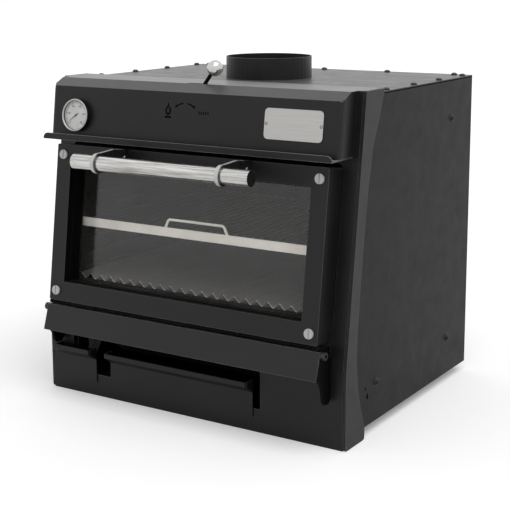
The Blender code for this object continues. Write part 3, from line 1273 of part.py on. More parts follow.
def channel_grill():
    """Pressed sheet of round channels that run from front to back."""
    waves = int(2 * GRILL_HALF_WIDTH / GRILL_PITCH)
    low = FIREBOX_HIGH_Z + SEAT_GAP
    amplitude = (GRILL_DEPTH - GRILL_WALL) / 2
    middle = low + GRILL_DEPTH / 2
    steps = 8
    count = waves * steps
    start = -waves * GRILL_PITCH / 2
    line = []
    for index in range(count + 1):
        phase = 2 * math.pi * index / steps
        line.append((start + index * GRILL_PITCH / steps, middle + amplitude * math.cos(phase)))
    upper = [(x, z + GRILL_WALL / 2) for x, z in line]
    lower = [(x, z - GRILL_WALL / 2) for x, z in line]
    length = RACK_BACK_Y - GRILL_FRONT_Y
    plate("channel_grill", [upper + list(reversed(lower))], length, (0.0, GRILL_FRONT_Y + length / 2, 0.0),
          FACING_FRONT, "rack_steel")


def firebox():
    """Open frame of thick walls, slotted grate and the hopper below it."""
    half = LINER_HALF_WIDTH - SEAT_GAP
    back = LINER_BACK_Y - SEAT_GAP
    wall = FIREBOX_WALL
    loops = [rectangle((-half, FIREBOX_FRONT_Y), (half, back)),
             rectangle((-half + wall, FIREBOX_FRONT_Y + wall), (half - wall, back - wall))]
    height = FIREBOX_HIGH_Z - FIREBOX_LOW_Z
    plate("firebox", loops, height, (0.0, 0.0, FIREBOX_LOW_Z + height / 2), FLAT, "cast_iron")
    grate_half = half - wall - SEAT_GAP
    low_y, high_y = FIREBOX_FRONT_Y + wall + SEAT_GAP, back - wall - SEAT_GAP
    loops = [rectangle((-grate_half, low_y), (grate_half, high_y))]
    count = int((2 * grate_half - GRATE_SLOT_MARGIN) / GRATE_SLOT_PITCH)
    for index in range(count):
        x = (index - (count - 1) / 2) * GRATE_SLOT_PITCH
        loops.append(rectangle((x - GRATE_SLOT_WIDTH / 2, low_y + GRATE_SLOT_MARGIN),
                               (x + GRATE_SLOT_WIDTH / 2, high_y - GRATE_SLOT_MARGIN)))
    plate("charcoal_grate", loops, GRATE_WALL, (0.0, 0.0, FIREBOX_LOW_Z + GRATE_WALL / 2), FLAT, "cast_iron")
    ash_hopper(half, back)


def ash_hopper(half, back):
    """Sheet funnel from the firebox down to the ash drawer, open above and below."""
    high, low = FIREBOX_LOW_Z - SEAT_GAP, HOPPER_LOW_Z
    left, right = tray_sides()
    shape = bmesh.new()
    rings = []
    for inset in (0.0, HOPPER_WALL):
        upper = rectangle((-half + inset, FIREBOX_FRONT_Y + inset), (half - inset, back - inset))
        lower = rectangle((left + TRAY_WALL + 2 * inset, FIREBOX_FRONT_Y + inset),
                          (right - TRAY_WALL - 2 * inset, TRAY_LENGTH - TRAY_WALL - 2 * inset))
        rings.append([shape.verts.new((x, y, high)) for x, y in upper])
        rings.append([shape.verts.new((x, y, low)) for x, y in lower])
    outer_high, outer_low, inner_high, inner_low = rings
    for index in range(4):
        after = (index + 1) % 4
        shape.faces.new((outer_low[index], outer_low[after], outer_high[after], outer_high[index]))
        shape.faces.new((inner_high[index], inner_high[after], inner_low[after], inner_low[index]))
        shape.faces.new((outer_high[index], outer_high[after], inner_high[after], inner_high[index]))
        shape.faces.new((outer_low[after], outer_low[index], inner_low[index], inner_low[after]))
    mesh_object("ash_hopper", shape, BODY, (0.0, 0.0, 0.0), FLAT, "chamber_steel")


# Ash drawer and air slide: both have a shutter-like front with a trough lip to pull
def shutter(name, left, right, parent):
    """Folded front sheet with a flared lip, closed at its ends by gussets."""
    wall = SHUTTER_WALL
    face = -SEAT_GAP - wall
    back = -SEAT_GAP
    outer = [(back, SHUTTER_LOW_Z), (face, SHUTTER_LOW_Z), (face, SHUTTER_BEND_Z),
             (-SHUTTER_LIP_OUT, SHUTTER_LIP_LOW_Z), (-SHUTTER_LIP_OUT, SHUTTER_LIP_HIGH_Z)]
    inner = [(-SHUTTER_LIP_OUT + wall, SHUTTER_LIP_HIGH_Z), (-SHUTTER_LIP_OUT + wall,
                                                             SHUTTER_LIP_LOW_Z + wall / 2),
             (back, SHUTTER_BEND_Z + wall / 2)]
    origin = ORIGINS[parent]
    sheet_line = [(y - origin.y, z - origin.z) for y, z in outer + inner]
    middle = (left + right) / 2
    length = right - left - 2 * SHUTTER_NOTCH
    sheet = plate(name, [sheet_line], length, (middle, origin.y, origin.z), FACING_RIGHT, "black_paint",
                  parent)
    gusset = [(back, SHUTTER_LOW_Z), (face, SHUTTER_LOW_Z), (face, SHUTTER_BEND_Z),
              (-SHUTTER_LIP_OUT + wall, SHUTTER_LIP_LOW_Z), (-SHUTTER_LIP_OUT + wall, SHUTTER_LIP_HIGH_Z),
              (back, SHUTTER_LIP_HIGH_Z)]
    gusset = [(y - origin.y, z - origin.z) for y, z in gusset]
    ends = []
    depth = SHUTTER_NOTCH + wall / 2
    for side, edge in ((1, left), (-1, right)):
        ends.append(plate(name + "_gusset_guide", [gusset], depth,
                          (edge + side * depth / 2, origin.y, origin.z),
                          FACING_RIGHT, None, parent))
    return combine(sheet, ends, "UNION")


def tray_sides():
    return DRAWER_FRONT_LEFT + TRAY_SIDE_INSET, DRAWER_FRONT_RIGHT - TRAY_SIDE_INSET


def ash_drawer():
    shutter("ash_drawer_front", DRAWER_FRONT_LEFT, DRAWER_FRONT_RIGHT, DRAWER)
    left, right = tray_sides()
    tray = box("ash_drawer_tray", (left, 0.0, TRAY_LOW_Z), (right, TRAY_LENGTH, TRAY_HIGH_Z), "black_paint",
               DRAWER)
    wall = TRAY_WALL
    hollow = box("tray_hollow_cutter", (left + wall, wall, TRAY_LOW_Z + wall),
                 (right - wall, TRAY_LENGTH - wall, TRAY_HIGH_Z + CUT_OVERRUN), None, DRAWER)
    combine(tray, [hollow], "DIFFERENCE")


def air_slide():
    """Sliding shutter over the air inlet, with a plate behind the sheet that keeps it on."""
    shutter("air_slide_front", AIR_LEFT, AIR_RIGHT, AIR)
    gap = FRONT_SHEET_WALL + RUNNING_GAP
    wall = AIR_BACK_WALL
    carrier = box("air_slide_carrier", (AIR_LEFT, gap, AIR_BACK_LOW_Z),
                  (AIR_BACK_RIGHT, gap + wall, AIR_BACK_HIGH_Z),
                  "black_paint", AIR)
    middle = AIR_BACK_RIGHT - AIR_STUD_SPREAD / 2 - 2 * AIR_STUD_RADIUS
    height = (HATCH_LOW + AIR_BACK_HIGH_Z) / 2
    studs = []
    for side in (-1, 1):
        x = middle + side * AIR_STUD_SPREAD / 2
        studs.append(mesh_object("stud_guide", cylinder_shape(AIR_STUD_RADIUS, gap + wall / 2, ROUND_SIDES,
                                                              "Y"),
                                 AIR, (x, (gap + wall / 2) / 2, height), FLAT, None))
    combine(carrier, studs, "UNION")


# Flue, exhaust throat and butterfly damper
def flue():
    inner = FLUE_RADIUS - FLUE_WALL
    base = ROOF_Z + SEAT_GAP
    top = ROOF_Z + FLUE_RISE
    half = (top - base) / 2
    collar = turned("flue_collar", [(FLUE_RADIUS, half), (FLUE_RADIUS, -half), (inner, -half), (inner, half),
                                    (FLUE_RADIUS, half)], LARGE_ROUND_SIDES, BODY, (0.0, FLUE_Y,
                                                                                    base + half), FLAT,
                    "black_paint")
    smooth(to_mesh(collar))
    wall = THROAT_WALL
    low = LINER_HIGH_Z + LINER_WALL + 2 * SEAT_GAP
    high = ROOF_UNDER_Z - SEAT_GAP
    loops = [rectangle((-THROAT_HALF_WIDTH - wall, -THROAT_HALF_DEPTH - wall),
                       (THROAT_HALF_WIDTH + wall, THROAT_HALF_DEPTH + wall)),
             rectangle((-THROAT_HALF_WIDTH, -THROAT_HALF_DEPTH), (THROAT_HALF_WIDTH, THROAT_HALF_DEPTH))]
    throat = plate("exhaust_throat", loops, high - low, (0.0, FLUE_Y, (low + high) / 2), FLAT,
                   "chamber_steel")
    bore = mesh_object("throat_bore_cutter",
                       cylinder_shape(DAMPER_SHAFT_RADIUS + RUNNING_GAP, 3 * THROAT_HALF_DEPTH, ROUND_SIDES,
                                      "Y"),
                       BODY, (0.0, FLUE_Y, DAMPER_AXIS_Z), FLAT, None)
    combine(throat, [bore], "DIFFERENCE")


def damper():
    front = LEVER_Y + LEVER_HUB_LENGTH / 2 + SEAT_GAP
    back = FLUE_Y + THROAT_HALF_DEPTH + THROAT_WALL + DAMPER_SHAFT_RADIUS
    shaft = cylinder_shape(DAMPER_SHAFT_RADIUS, back - front, ROUND_SIDES, "Y")
    bmesh.ops.translate(shaft, vec=(0.0, (front + back) / 2 - LEVER_Y, 0.0), verts=shaft.verts)
    smooth(mesh_object("damper_shaft", shaft, DAMPER, (0.0, LEVER_Y, DAMPER_AXIS_Z), FLAT, "chamber_steel"))
    low = DAMPER_AXIS_Z + DAMPER_SHAFT_RADIUS + SEAT_GAP
    half_x = THROAT_HALF_WIDTH - DAMPER_SIDE_GAP
    half_y = THROAT_HALF_DEPTH - DAMPER_END_GAP
    box("damper_plate", (-half_x, FLUE_Y - half_y, low), (half_x, FLUE_Y + half_y, low + DAMPER_PLATE_WALL),
        "chamber_steel", DAMPER)
    lean = math.radians(LEVER_LEAN_DEG)
    along = Vector((math.sin(lean), 0.0, math.cos(lean)))
    origin = ORIGINS[DAMPER]
    hub = mesh_object("damper_lever", cylinder_shape(LEVER_HUB_RADIUS, LEVER_HUB_LENGTH, ROUND_SIDES, "Y"),
                      DAMPER, origin, FLAT, "stainless")
    start = LEVER_HUB_RADIUS / 2
    end = LEVER_LENGTH - KNOB_RADIUS / 2
    rod_shape = cylinder_shape(LEVER_RADIUS, end - start, SMALL_ROUND_SIDES)
    bmesh.ops.translate(rod_shape, vec=(0.0, 0.0, (start + end) / 2), verts=rod_shape.verts)
    bmesh.ops.rotate(rod_shape, matrix=Matrix.Rotation(lean, 3, "Y"), verts=rod_shape.verts)
    rod = mesh_object("lever_rod_guide", rod_shape, DAMPER, origin, FLAT, None)
    smooth(combine(hub, [rod], "UNION"))
    ball = bmesh.new()
    bmesh.ops.create_uvsphere(ball, u_segments=LARGE_ROUND_SIDES // 2, v_segments=ROUND_SIDES,
                              radius=KNOB_RADIUS)
    bmesh.ops.rotate(ball, matrix=Matrix.Rotation(lean, 3, "Y"), verts=ball.verts)
    bmesh.ops.translate(ball, vec=along * LEVER_LENGTH, verts=ball.verts)
    knob = mesh_object("damper_knob", ball, DAMPER, origin, FLAT, "stainless")
    socket_shape = cylinder_shape(LEVER_RADIUS + SEAT_GAP, KNOB_RADIUS + CUT_OVERRUN, SMALL_ROUND_SIDES)
    bmesh.ops.translate(socket_shape, vec=(0.0, 0.0, end + SEAT_GAP - (KNOB_RADIUS + CUT_OVERRUN) / 2),
                        verts=socket_shape.verts)
    bmesh.ops.rotate(socket_shape, matrix=Matrix.Rotation(lean, 3, "Y"), verts=socket_shape.verts)
    socket = mesh_object("knob_socket_cutter", socket_shape, DAMPER, origin, FLAT, None)
    combine(smooth(knob), [socket], "DIFFERENCE")


# Thermometer, badge plate and screws
def thermometer():
    """Dial thermometer standing off the hood, with a rim, a dial, a needle and a lens."""
    origin = ORIGINS[GAUGE]
    face = GAUGE_STANDOFF
    floor = face - GAUGE_RIM - GAUGE_LENS_WALL
    inner = GAUGE_RADIUS - GAUGE_RIM
    dial_z = floor - 2 * GAUGE_RIM_LIP
    profile = [
        (inner, dial_z), (inner, face - GAUGE_RIM_LIP), (inner + GAUGE_RIM / 2, face),
        (GAUGE_RADIUS - GAUGE_RIM_LIP / 2, face), (GAUGE_RADIUS, face - GAUGE_RIM_LIP / 2),
        (GAUGE_RADIUS, dial_z - GAUGE_RIM_LIP), (GAUGE_CASE_RADIUS, dial_z - 2 * GAUGE_RIM_LIP),
        (GAUGE_CASE_RADIUS, SEAT_GAP),
    ]
    case = [(lathed_shape(profile, LARGE_ROUND_SIDES), Matrix.Translation(origin) @ TO_FRONT)]
    solids("thermometer_case", case, GAUGE, "stainless")
    radius = inner - SEAT_GAP
    place = (origin.x, origin.y, origin.z)
    dial_top = dial_z + SEAT_GAP + GAUGE_DIAL_WALL
    dial_shape = cylinder_shape(radius, GAUGE_DIAL_WALL, LARGE_ROUND_SIDES)
    solids("thermometer_dial", [(dial_shape, Matrix.Translation(place) @ TO_FRONT
                                @ Matrix.Translation((0.0, 0.0, dial_z + SEAT_GAP + GAUGE_DIAL_WALL / 2)))],
          GAUGE, "dial_white")
    needle_z = dial_top + RUNNING_GAP + GAUGE_NEEDLE_WALL / 2
    half = GAUGE_NEEDLE_WIDTH / 2
    outline = [(-GAUGE_NEEDLE_TAIL, -half), (-GAUGE_NEEDLE_TAIL, half)]
    outline += [(-GAUGE_HUB_RADIUS, half)] + arc((0.0, 0.0), GAUGE_HUB_RADIUS, 150, 30, CORNER_STEPS)
    outline += [(GAUGE_NEEDLE_LENGTH, half / 4), (GAUGE_NEEDLE_LENGTH, -half / 4)]
    outline += arc((0.0, 0.0), GAUGE_HUB_RADIUS, -30, -150, CORNER_STEPS) + [(-GAUGE_HUB_RADIUS, -half)]
    needle = plate_shape([outline], GAUGE_NEEDLE_WALL)
    turn = Matrix.Rotation(math.radians(GAUGE_REST_DEG), 4, "Z")
    solids("thermometer_needle", [(needle, Matrix.Translation(place) @ TO_FRONT
                                  @ Matrix.Translation((0.0, 0.0,
                                                        needle_z)) @ turn)], GAUGE, "needle_black", False)
    lens_z = face - GAUGE_RIM_LIP - GAUGE_LENS_WALL
    lens = cylinder_shape(radius, GAUGE_LENS_WALL, LARGE_ROUND_SIDES)
    solids("thermometer_lens", [(lens, Matrix.Translation(place) @ TO_FRONT
                                @ Matrix.Translation((0.0, 0.0, lens_z)))], GAUGE, "glass")


def badge():
    out = HOOD_FORWARD * COS_LEAN
    low, high = up_of(BADGE_LOW_Z, out), up_of(BADGE_HIGH_Z, out)
    outline = rounded_rectangle((BADGE_LEFT, low), (BADGE_RIGHT, high), BADGE_RADIUS)
    badge_plate = plate("badge_plate", [outline], BADGE_WALL, (0.0, -out - SEAT_GAP - BADGE_WALL / 2, 0.0),
                        FACING_FRONT, "stainless", SLOPE)
    rivets = []
    for x in (BADGE_LEFT + BADGE_RIVET_INSET, BADGE_RIGHT - BADGE_RIVET_INSET):
        place = (x, -out - BADGE_WALL - SEAT_GAP, (low + high) / 2)
        rivets.append((button_head(BADGE_RIVET_RADIUS, BADGE_RIVET_RADIUS / 2),
                       Matrix.Translation(place) @ TO_FRONT))
    combine(badge_plate, [solids("badge_rivet_guide", rivets, SLOPE, None)], "UNION")


side_frames()
front_sheet()
outer_panels()
hood()
door()
door_screws()
hinge()
handle()
flap()
chamber()
rack_ledges()
upper_rack()
channel_grill()
firebox()
ash_drawer()
air_slide()
flue()
damper()
thermometer()
badge()
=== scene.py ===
"""Looks of the counter-top charcoal oven: materials, printed marks, studio and camera.

Lengths are in metres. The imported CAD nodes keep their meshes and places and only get
materials here. What this script makes itself is thin print that rides on them.
"""
import math

import bmesh
import bpy
from mathutils import Matrix, Vector


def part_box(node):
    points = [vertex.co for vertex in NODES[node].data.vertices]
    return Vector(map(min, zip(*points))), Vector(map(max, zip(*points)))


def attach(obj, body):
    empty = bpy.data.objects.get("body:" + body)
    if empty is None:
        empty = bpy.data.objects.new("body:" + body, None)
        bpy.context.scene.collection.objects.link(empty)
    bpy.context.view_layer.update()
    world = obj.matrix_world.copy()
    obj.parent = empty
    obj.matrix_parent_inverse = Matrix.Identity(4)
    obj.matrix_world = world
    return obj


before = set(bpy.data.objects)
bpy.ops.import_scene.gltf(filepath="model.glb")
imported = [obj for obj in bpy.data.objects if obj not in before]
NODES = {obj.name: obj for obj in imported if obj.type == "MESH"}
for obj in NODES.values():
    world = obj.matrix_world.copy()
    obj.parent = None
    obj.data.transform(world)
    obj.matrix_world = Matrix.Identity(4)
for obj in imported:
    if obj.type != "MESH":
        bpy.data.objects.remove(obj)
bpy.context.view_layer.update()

# Where the body's own depth 0, the front of its plinth, lies along world Y
SHIFT_Y = -0.23394
# Above the kink the front leans back by this angle
LEAN = math.radians(7.6)
KINK_Z = 0.1538
# How far the hood's face and the badge's face stand out of the leaning front
HOOD_OUT = 0.055 * math.cos(LEAN)
BADGE_OUT = HOOD_OUT + 0.0016
# Axis of the door's hinge, and how far its knuckles reach from it
HINGE_Y, HINGE_Z = -0.27403, 0.20798
KNUCKLE_RADIUS = 0.006
GRILL_PITCH = 0.0262

SHARP_ANGLE = math.radians(35)
PRINT_THICK = 0.0001

BLACK_NODES = (
    "front_sheet", "roof_panel", "hood_shell", "door_shell", "flap_plate", "flue_collar",
)
SHUTTER_NODES = ("ash_drawer_front", "air_slide_front")
FRAME_NODES = ("side_frame_left", "side_frame_right")
PANEL_NODES = ("side_panel_left", "side_panel_right", "rear_panel", "floor_panel")
# Parts in the darker coat: mostly painted shade, where they sit in shadow or in gaps
SHADED_NODES = (
    "flap_wing_left", "flap_wing_right", "ash_drawer_tray", "air_slide_carrier",
    "door_back_frame", "door_window_bead", "door_hinge_rod", "damper_lever", "ash_hopper",
    "mouth_frame",
)
BRACKET_NODES = ("handle_bracket_left", "handle_bracket_right")
SCREW_NODES = (
    "door_screw_left_low", "door_screw_left_high", "door_screw_right_low",
    "door_screw_right_high",
)
CHAMBER_NODES = (
    "chamber_left", "chamber_right", "chamber_back", "chamber_top", "rack_ledges_left",
    "rack_ledges_right", "exhaust_throat", "damper_plate", "damper_shaft",
)
MOULDED_NODES = ("handle_cap_left", "handle_cap_right", "rear_foot_left", "rear_foot_right")


# Node materials
class Nodes:
    """A material being built, with short calls for the nodes it uses."""

    # Sockets of the Mix node when it mixes colours
    MIX_FIRST, MIX_SECOND, MIX_RESULT = 6, 7, 2

    def __init__(self, name):
        self.material = bpy.data.materials.new(name)
        self.material.use_nodes = True
        self.tree = self.material.node_tree
        self.tree.nodes.clear()
        self.output = self.tree.nodes.new("ShaderNodeOutputMaterial")
        self.shader = self.tree.nodes.new("ShaderNodeBsdfPrincipled")
        self.join(self.shader.outputs[0], self.output.inputs["Surface"])

    def join(self, source, target):
        self.tree.links.new(source, target)

    def place(self, scale=(1.0, 1.0, 1.0), turn=(0.0, 0.0, 0.0)):
        """Object coordinates in metres, stretched by a scale."""
        coordinates = self.tree.nodes.new("ShaderNodeTexCoord")
        mapping = self.tree.nodes.new("ShaderNodeMapping")
        mapping.inputs["Scale"].default_value = scale
        mapping.inputs["Rotation"].default_value = turn
        self.join(coordinates.outputs["Object"], mapping.inputs["Vector"])
        return mapping.outputs["Vector"]

    def noise(self, size, detail=4.0, roughness=0.55, place=None):
        """Noise whose features are about as large as the size."""
        node = self.tree.nodes.new("ShaderNodeTexNoise")
        node.inputs["Scale"].default_value = 1.0 / size
        node.inputs["Detail"].default_value = detail
        node.inputs["Roughness"].default_value = roughness
        self.join(place or self.place(), node.inputs["Vector"])
        return node.outputs["Fac"]

    def cells(self, size):
        """Distance to scattered points that lie about the size apart."""
        node = self.tree.nodes.new("ShaderNodeTexVoronoi")
        node.inputs["Scale"].default_value = 1.0 / size
        self.join(self.place(), node.inputs["Vector"])
        return node.outputs["Distance"]

    def ramp(self, value, stops):
        """Colour ramp; stops are (position, colour or grey)."""
        node = self.tree.nodes.new("ShaderNodeValToRGB")
        ramp = node.color_ramp
        while len(ramp.elements) < len(stops):
            ramp.elements.new(1.0)
        for element, (position, colour) in zip(ramp.elements, stops):
            element.position = position
            colour = (colour, colour, colour) if isinstance(colour, float) else colour
            element.color = (*colour, 1.0)
        self.join(value, node.inputs["Fac"])
        return node.outputs["Color"]

    def span(self, value, low, high, start=0.3, end=0.7):
        """The value carried from start..end to low..high."""
        node = self.tree.nodes.new("ShaderNodeMapRange")
        node.inputs["From Min"].default_value = start
        node.inputs["From Max"].default_value = end
        node.inputs["To Min"].default_value = low
        node.inputs["To Max"].default_value = high
        self.join(value, node.inputs["Value"])
        return node.outputs["Result"]

    def math(self, operation, first, second):
        node = self.tree.nodes.new("ShaderNodeMath")
        node.operation = operation
        for socket, value in zip(node.inputs, (first, second)):
            if isinstance(value, float):
                socket.default_value = value
            else:
                self.join(value, socket)
        return node.outputs[0]

    def mix(self, share, first, second):
        """Colour between the first and the second, by a share from another node."""
        node = self.tree.nodes.new("ShaderNodeMix")
        node.data_type = "RGBA"
        self.join(share, node.inputs[0])
        for index, value in ((self.MIX_FIRST, first), (self.MIX_SECOND, second)):
            if isinstance(value, tuple):
                node.inputs[index].default_value = (*value, 1.0)
            else:
                self.join(value, node.inputs[index])
        return node.outputs[self.MIX_RESULT]

    def upward(self):
        """0 on upright faces, 1 on faces that look up."""
        geometry = self.tree.nodes.new("ShaderNodeNewGeometry")
        facing = self.tree.nodes.new("ShaderNodeSeparateXYZ")
        self.join(geometry.outputs["Normal"], facing.inputs[0])
        return self.span(facing.outputs["Z"], 0.0, 1.0, 0.25, 0.95)

    def edges(self, radius, start, end):
        """1 near outer edges, where the painted edge highlight goes: how far a rounded normal
        departs from the true one.
        """
        bevel = self.tree.nodes.new("ShaderNodeBevel")
        bevel.samples = 4
        bevel.inputs["Radius"].default_value = radius
        geometry = self.tree.nodes.new("ShaderNodeNewGeometry")
        dot = self.tree.nodes.new("ShaderNodeVectorMath")
        dot.operation = "DOT_PRODUCT"
        self.join(bevel.outputs[0], dot.inputs[0])
        self.join(geometry.outputs["Normal"], dot.inputs[1])
        return self.span(dot.outputs["Value"], 1.0, 0.0, start, end)

    def bump(self, layers):
        """Bumps from (height, depth in metres, strength) layers, one on top of the other."""
        normal = None
        for height, depth, strength in layers:
            node = self.tree.nodes.new("ShaderNodeBump")
            node.inputs["Distance"].default_value = depth
            node.inputs["Strength"].default_value = strength
            self.join(height, node.inputs["Height"])
            if normal:
                self.join(normal, node.inputs["Normal"])
            normal = node.outputs["Normal"]
        self.join(normal, self.shader.inputs["Normal"])

    def set(self, **values):
        """Numbers and colours go on the shader's sockets, and node outputs are joined to them."""
        for name, value in values.items():
            socket = self.shader.inputs[name.replace("_", " ")]
            if isinstance(value, tuple):
                socket.default_value = (*value, 1.0)
            elif isinstance(value, float):
                socket.default_value = value
            else:
                self.join(value, socket)


def black_coat(name, tone=0.0045, rough=(0.33, 0.43), gloss=0.30, dust=1.0, top_dust_and_light=0.075,
               edge_highlight=0.15):
    """Satin heat-resistant paint: fine orange peel, smudges, dust, a greyer top and a painted
    highlight on outer edges.

    The dust is a share of specks. The grey on faces that look up is partly settled dust and partly
    painted light from above, and the edge grey is a painted highlight on outer edges, patchy by
    the smudges.
    """
    n = Nodes(name)
    upward = n.upward()
    cloud = n.noise(0.16, 3.0, 0.6)
    smudge = n.noise(0.045, 5.0, 0.62)
    specks = n.cells(0.0045)
    base = n.mix(n.span(cloud, 0.0, 1.0),
                 (tone, tone, tone * 1.04), (tone * 1.5, tone * 1.48, tone * 1.5))
    grey = n.span(specks, dust, 0.0, 0.02, 0.09)
    dusty = n.math("MULTIPLY", grey, n.span(smudge, 0.0, 0.25, 0.52, 0.75))
    dirty = n.mix(dusty, base, (0.05, 0.048, 0.046))
    # Faces that look up are greyed: partly settled dust, partly painted light from above
    dust_and_light_on_top = n.math("MULTIPLY", upward, n.span(cloud, 0.85, 1.0))
    top_lightened = n.mix(dust_and_light_on_top, dirty, (top_dust_and_light, top_dust_and_light * 0.995, top_dust_and_light * 0.985))
    # Painted highlight along outer edges, patchy by the smudges
    edge_highlight_share = n.math("MULTIPLY", n.edges(0.0014, 0.80, 0.97), n.span(smudge, 0.55, 1.0))
    n.set(Base_Color=n.mix(edge_highlight_share, top_lightened, (edge_highlight, edge_highlight, edge_highlight)), Metallic=0.0,
          Specular_IOR_Level=gloss)
    n.set(Roughness=n.math("ADD", n.span(smudge, *rough), n.math("MULTIPLY", dusty, 0.5)))
    n.bump([(n.noise(0.0016, 2.0, 0.5), 0.00005, 0.6), (n.noise(0.02, 2.0, 0.5), 0.00025, 0.25)])
    return n.material


def polished_steel(name, axis="X", tone=0.56, rough=(0.13, 0.27), streak=0.30, marked=0.00006,
                   metallic=1.0, warm=1.0):
    """Stainless steel with drawn grain along one axis and faint handling marks.

    The streak is how much darker the grain's hollows are, and marked is the depth of the marks.
    A warm share under 1 takes green and blue off.
    """
    n = Nodes(name)
    finer = 1.0 / 0.03
    along = {"X": (1.0, finer, finer), "Z": (finer, finer, 1.0)}
    grain = n.noise(0.12, 6.0, 0.7, n.place(along[axis]))
    marks = n.noise(0.012, 4.0, 0.6)
    stops = []
    for position, share, blue in ((0.34, 1.0 - streak, 0.99), (0.58, 1.0, 0.985),
                                  (0.75, 1.12, 0.98)):
        grey = tone * share
        stops.append((position, (grey, grey * warm, grey * blue * warm * warm)))
    n.set(Base_Color=n.ramp(grain, stops))
    n.set(Metallic=metallic,
          Roughness=n.math("ADD", n.span(grain, *rough), n.span(marks, -0.02, 0.05)))
    n.bump([(grain, 0.00004, 0.5), (marks, marked, 0.2)])
    return n.material


def chamber_steel(name):
    """Bare chamber sheet: heat-tinted and dull, with clouds of soot."""
    n = Nodes(name)
    cloud = n.noise(0.09, 5.0, 0.65)
    grain = n.noise(0.06, 2.0, 0.5)
    tint = n.ramp(cloud, ((0.30, (0.045, 0.042, 0.038)), (0.50, (0.065, 0.060, 0.053)),
                          (0.70, (0.085, 0.076, 0.066))))
    soot = n.span(n.noise(0.2, 4.0, 0.6), 0.0, 0.8, 0.42, 0.75)
    n.set(Base_Color=n.mix(soot, tint, (0.012, 0.011, 0.010)), Metallic=0.2,
          Specular_IOR_Level=0.25)
    n.set(Roughness=n.math("ADD", n.span(grain, 0.54, 0.62), n.math("MULTIPLY", soot, 0.2)))
    n.bump([(grain, 0.00003, 0.1)])
    return n.material


def rack_steel(name, tone=0.95, metallic=0.10):
    """Bare steel of the rack and the grill, browned a little by heat. A low tone makes a darker
    copy, which serves as painted shade.
    """
    n = Nodes(name)
    stops = []
    for position, share, green, blue in ((0.30, 0.92, 0.93, 0.84), (0.52, 1.0, 0.95, 0.88),
                                         (0.75, 1.04, 0.96, 0.91)):
        bright = tone * share
        stops.append((position, (bright, bright * green, bright * blue)))
    n.set(Base_Color=n.ramp(n.noise(0.06, 4.0, 0.6), stops))
    n.set(Metallic=metallic, Roughness=n.span(n.noise(0.008, 4.0), 0.36, 0.50))
    n.bump([(n.noise(0.003, 3.0), 0.00002, 0.2)])
    return n.material


def cast_iron(name):
    """Rough casting with a touch of rust."""
    n = Nodes(name)
    n.set(Base_Color=n.ramp(n.noise(0.05, 5.0, 0.6), (
        (0.3, (0.022, 0.021, 0.020)), (0.6, (0.05, 0.046, 0.042)), (0.8, (0.11, 0.075, 0.05)))))
    n.set(Metallic=0.35, Roughness=n.span(n.noise(0.01, 4.0), 0.6, 0.85))
    n.bump([(n.noise(0.0025, 5.0, 0.65), 0.0004, 0.6), (n.noise(0.03, 3.0), 0.0012, 0.3)])
    return n.material


def moulded_black(name):
    """Matt black end caps and feet."""
    n = Nodes(name)
    n.set(Base_Color=n.ramp(n.noise(0.01, 4.0), ((0.3, 0.003), (0.7, 0.007))), Metallic=0.0,
          Specular_IOR_Level=0.12)
    n.set(Roughness=n.span(n.noise(0.004, 3.0), 0.42, 0.60))
    n.bump([(n.noise(0.0008, 2.0), 0.00006, 0.5)])
    return n.material


def glass_nodes(name, index=1.45):
    """The nodes of clean glass, returned open so that a film can be laid over it."""
    n = Nodes(name)
    n.set(Base_Color=(0.97, 0.975, 0.97), Metallic=0.0, Transmission_Weight=1.0, IOR=index)
    n.set(Roughness=n.span(n.noise(0.05, 4.0), 0.0, 0.03, 0.45, 0.8))
    return n


def smoked_glass(name, haze, index):
    """Glass under a thin film of dust and smoke, which lets light pass to what is behind it."""
    n = glass_nodes(name, index)
    film = n.tree.nodes.new("ShaderNodeBsdfDiffuse")
    film.inputs["Color"].default_value = (0.30, 0.295, 0.288, 1.0)
    both = n.tree.nodes.new("ShaderNodeMixShader")
    cloud = n.noise(0.11, 5.0, 0.6)
    wipe = n.noise(0.12, 2.0, 0.5, n.place((1.0, 6.0, 6.0), (0.0, 0.5, 0.0)))
    share = n.math("ADD", n.span(cloud, haze * 0.9, haze * 1.1), n.span(wipe, 0.0, haze * 0.15))
    n.join(share, both.inputs[0])
    n.join(n.shader.outputs[0], both.inputs[1])
    n.join(film.outputs[0], both.inputs[2])
    clear = n.tree.nodes.new("ShaderNodeBsdfTransparent")
    clear.inputs["Color"].default_value = (0.86, 0.86, 0.855, 1.0)
    path = n.tree.nodes.new("ShaderNodeLightPath")
    passing = n.tree.nodes.new("ShaderNodeMixShader")
    n.join(path.outputs["Is Shadow Ray"], passing.inputs[0])
    n.join(both.outputs[0], passing.inputs[1])
    n.join(clear.outputs[0], passing.inputs[2])
    n.join(passing.outputs[0], n.output.inputs["Surface"])
    return n.material


def enamel(name, colour, rough=0.45, gloss=0.5):
    """Plain coloured coat or ink with a faint grain."""
    n = Nodes(name)
    cloud = n.noise(0.012, 4.0, 0.6)
    dark = tuple(c * 0.93 for c in colour)
    n.set(Base_Color=n.mix(n.span(cloud, 0.0, 1.0), dark, colour), Metallic=0.0,
          Specular_IOR_Level=gloss)
    n.set(Roughness=n.span(n.noise(0.003, 3.0), rough - 0.06, rough + 0.06))
    n.bump([(n.noise(0.0012, 2.0), 0.00003, 0.4)])
    return n.material


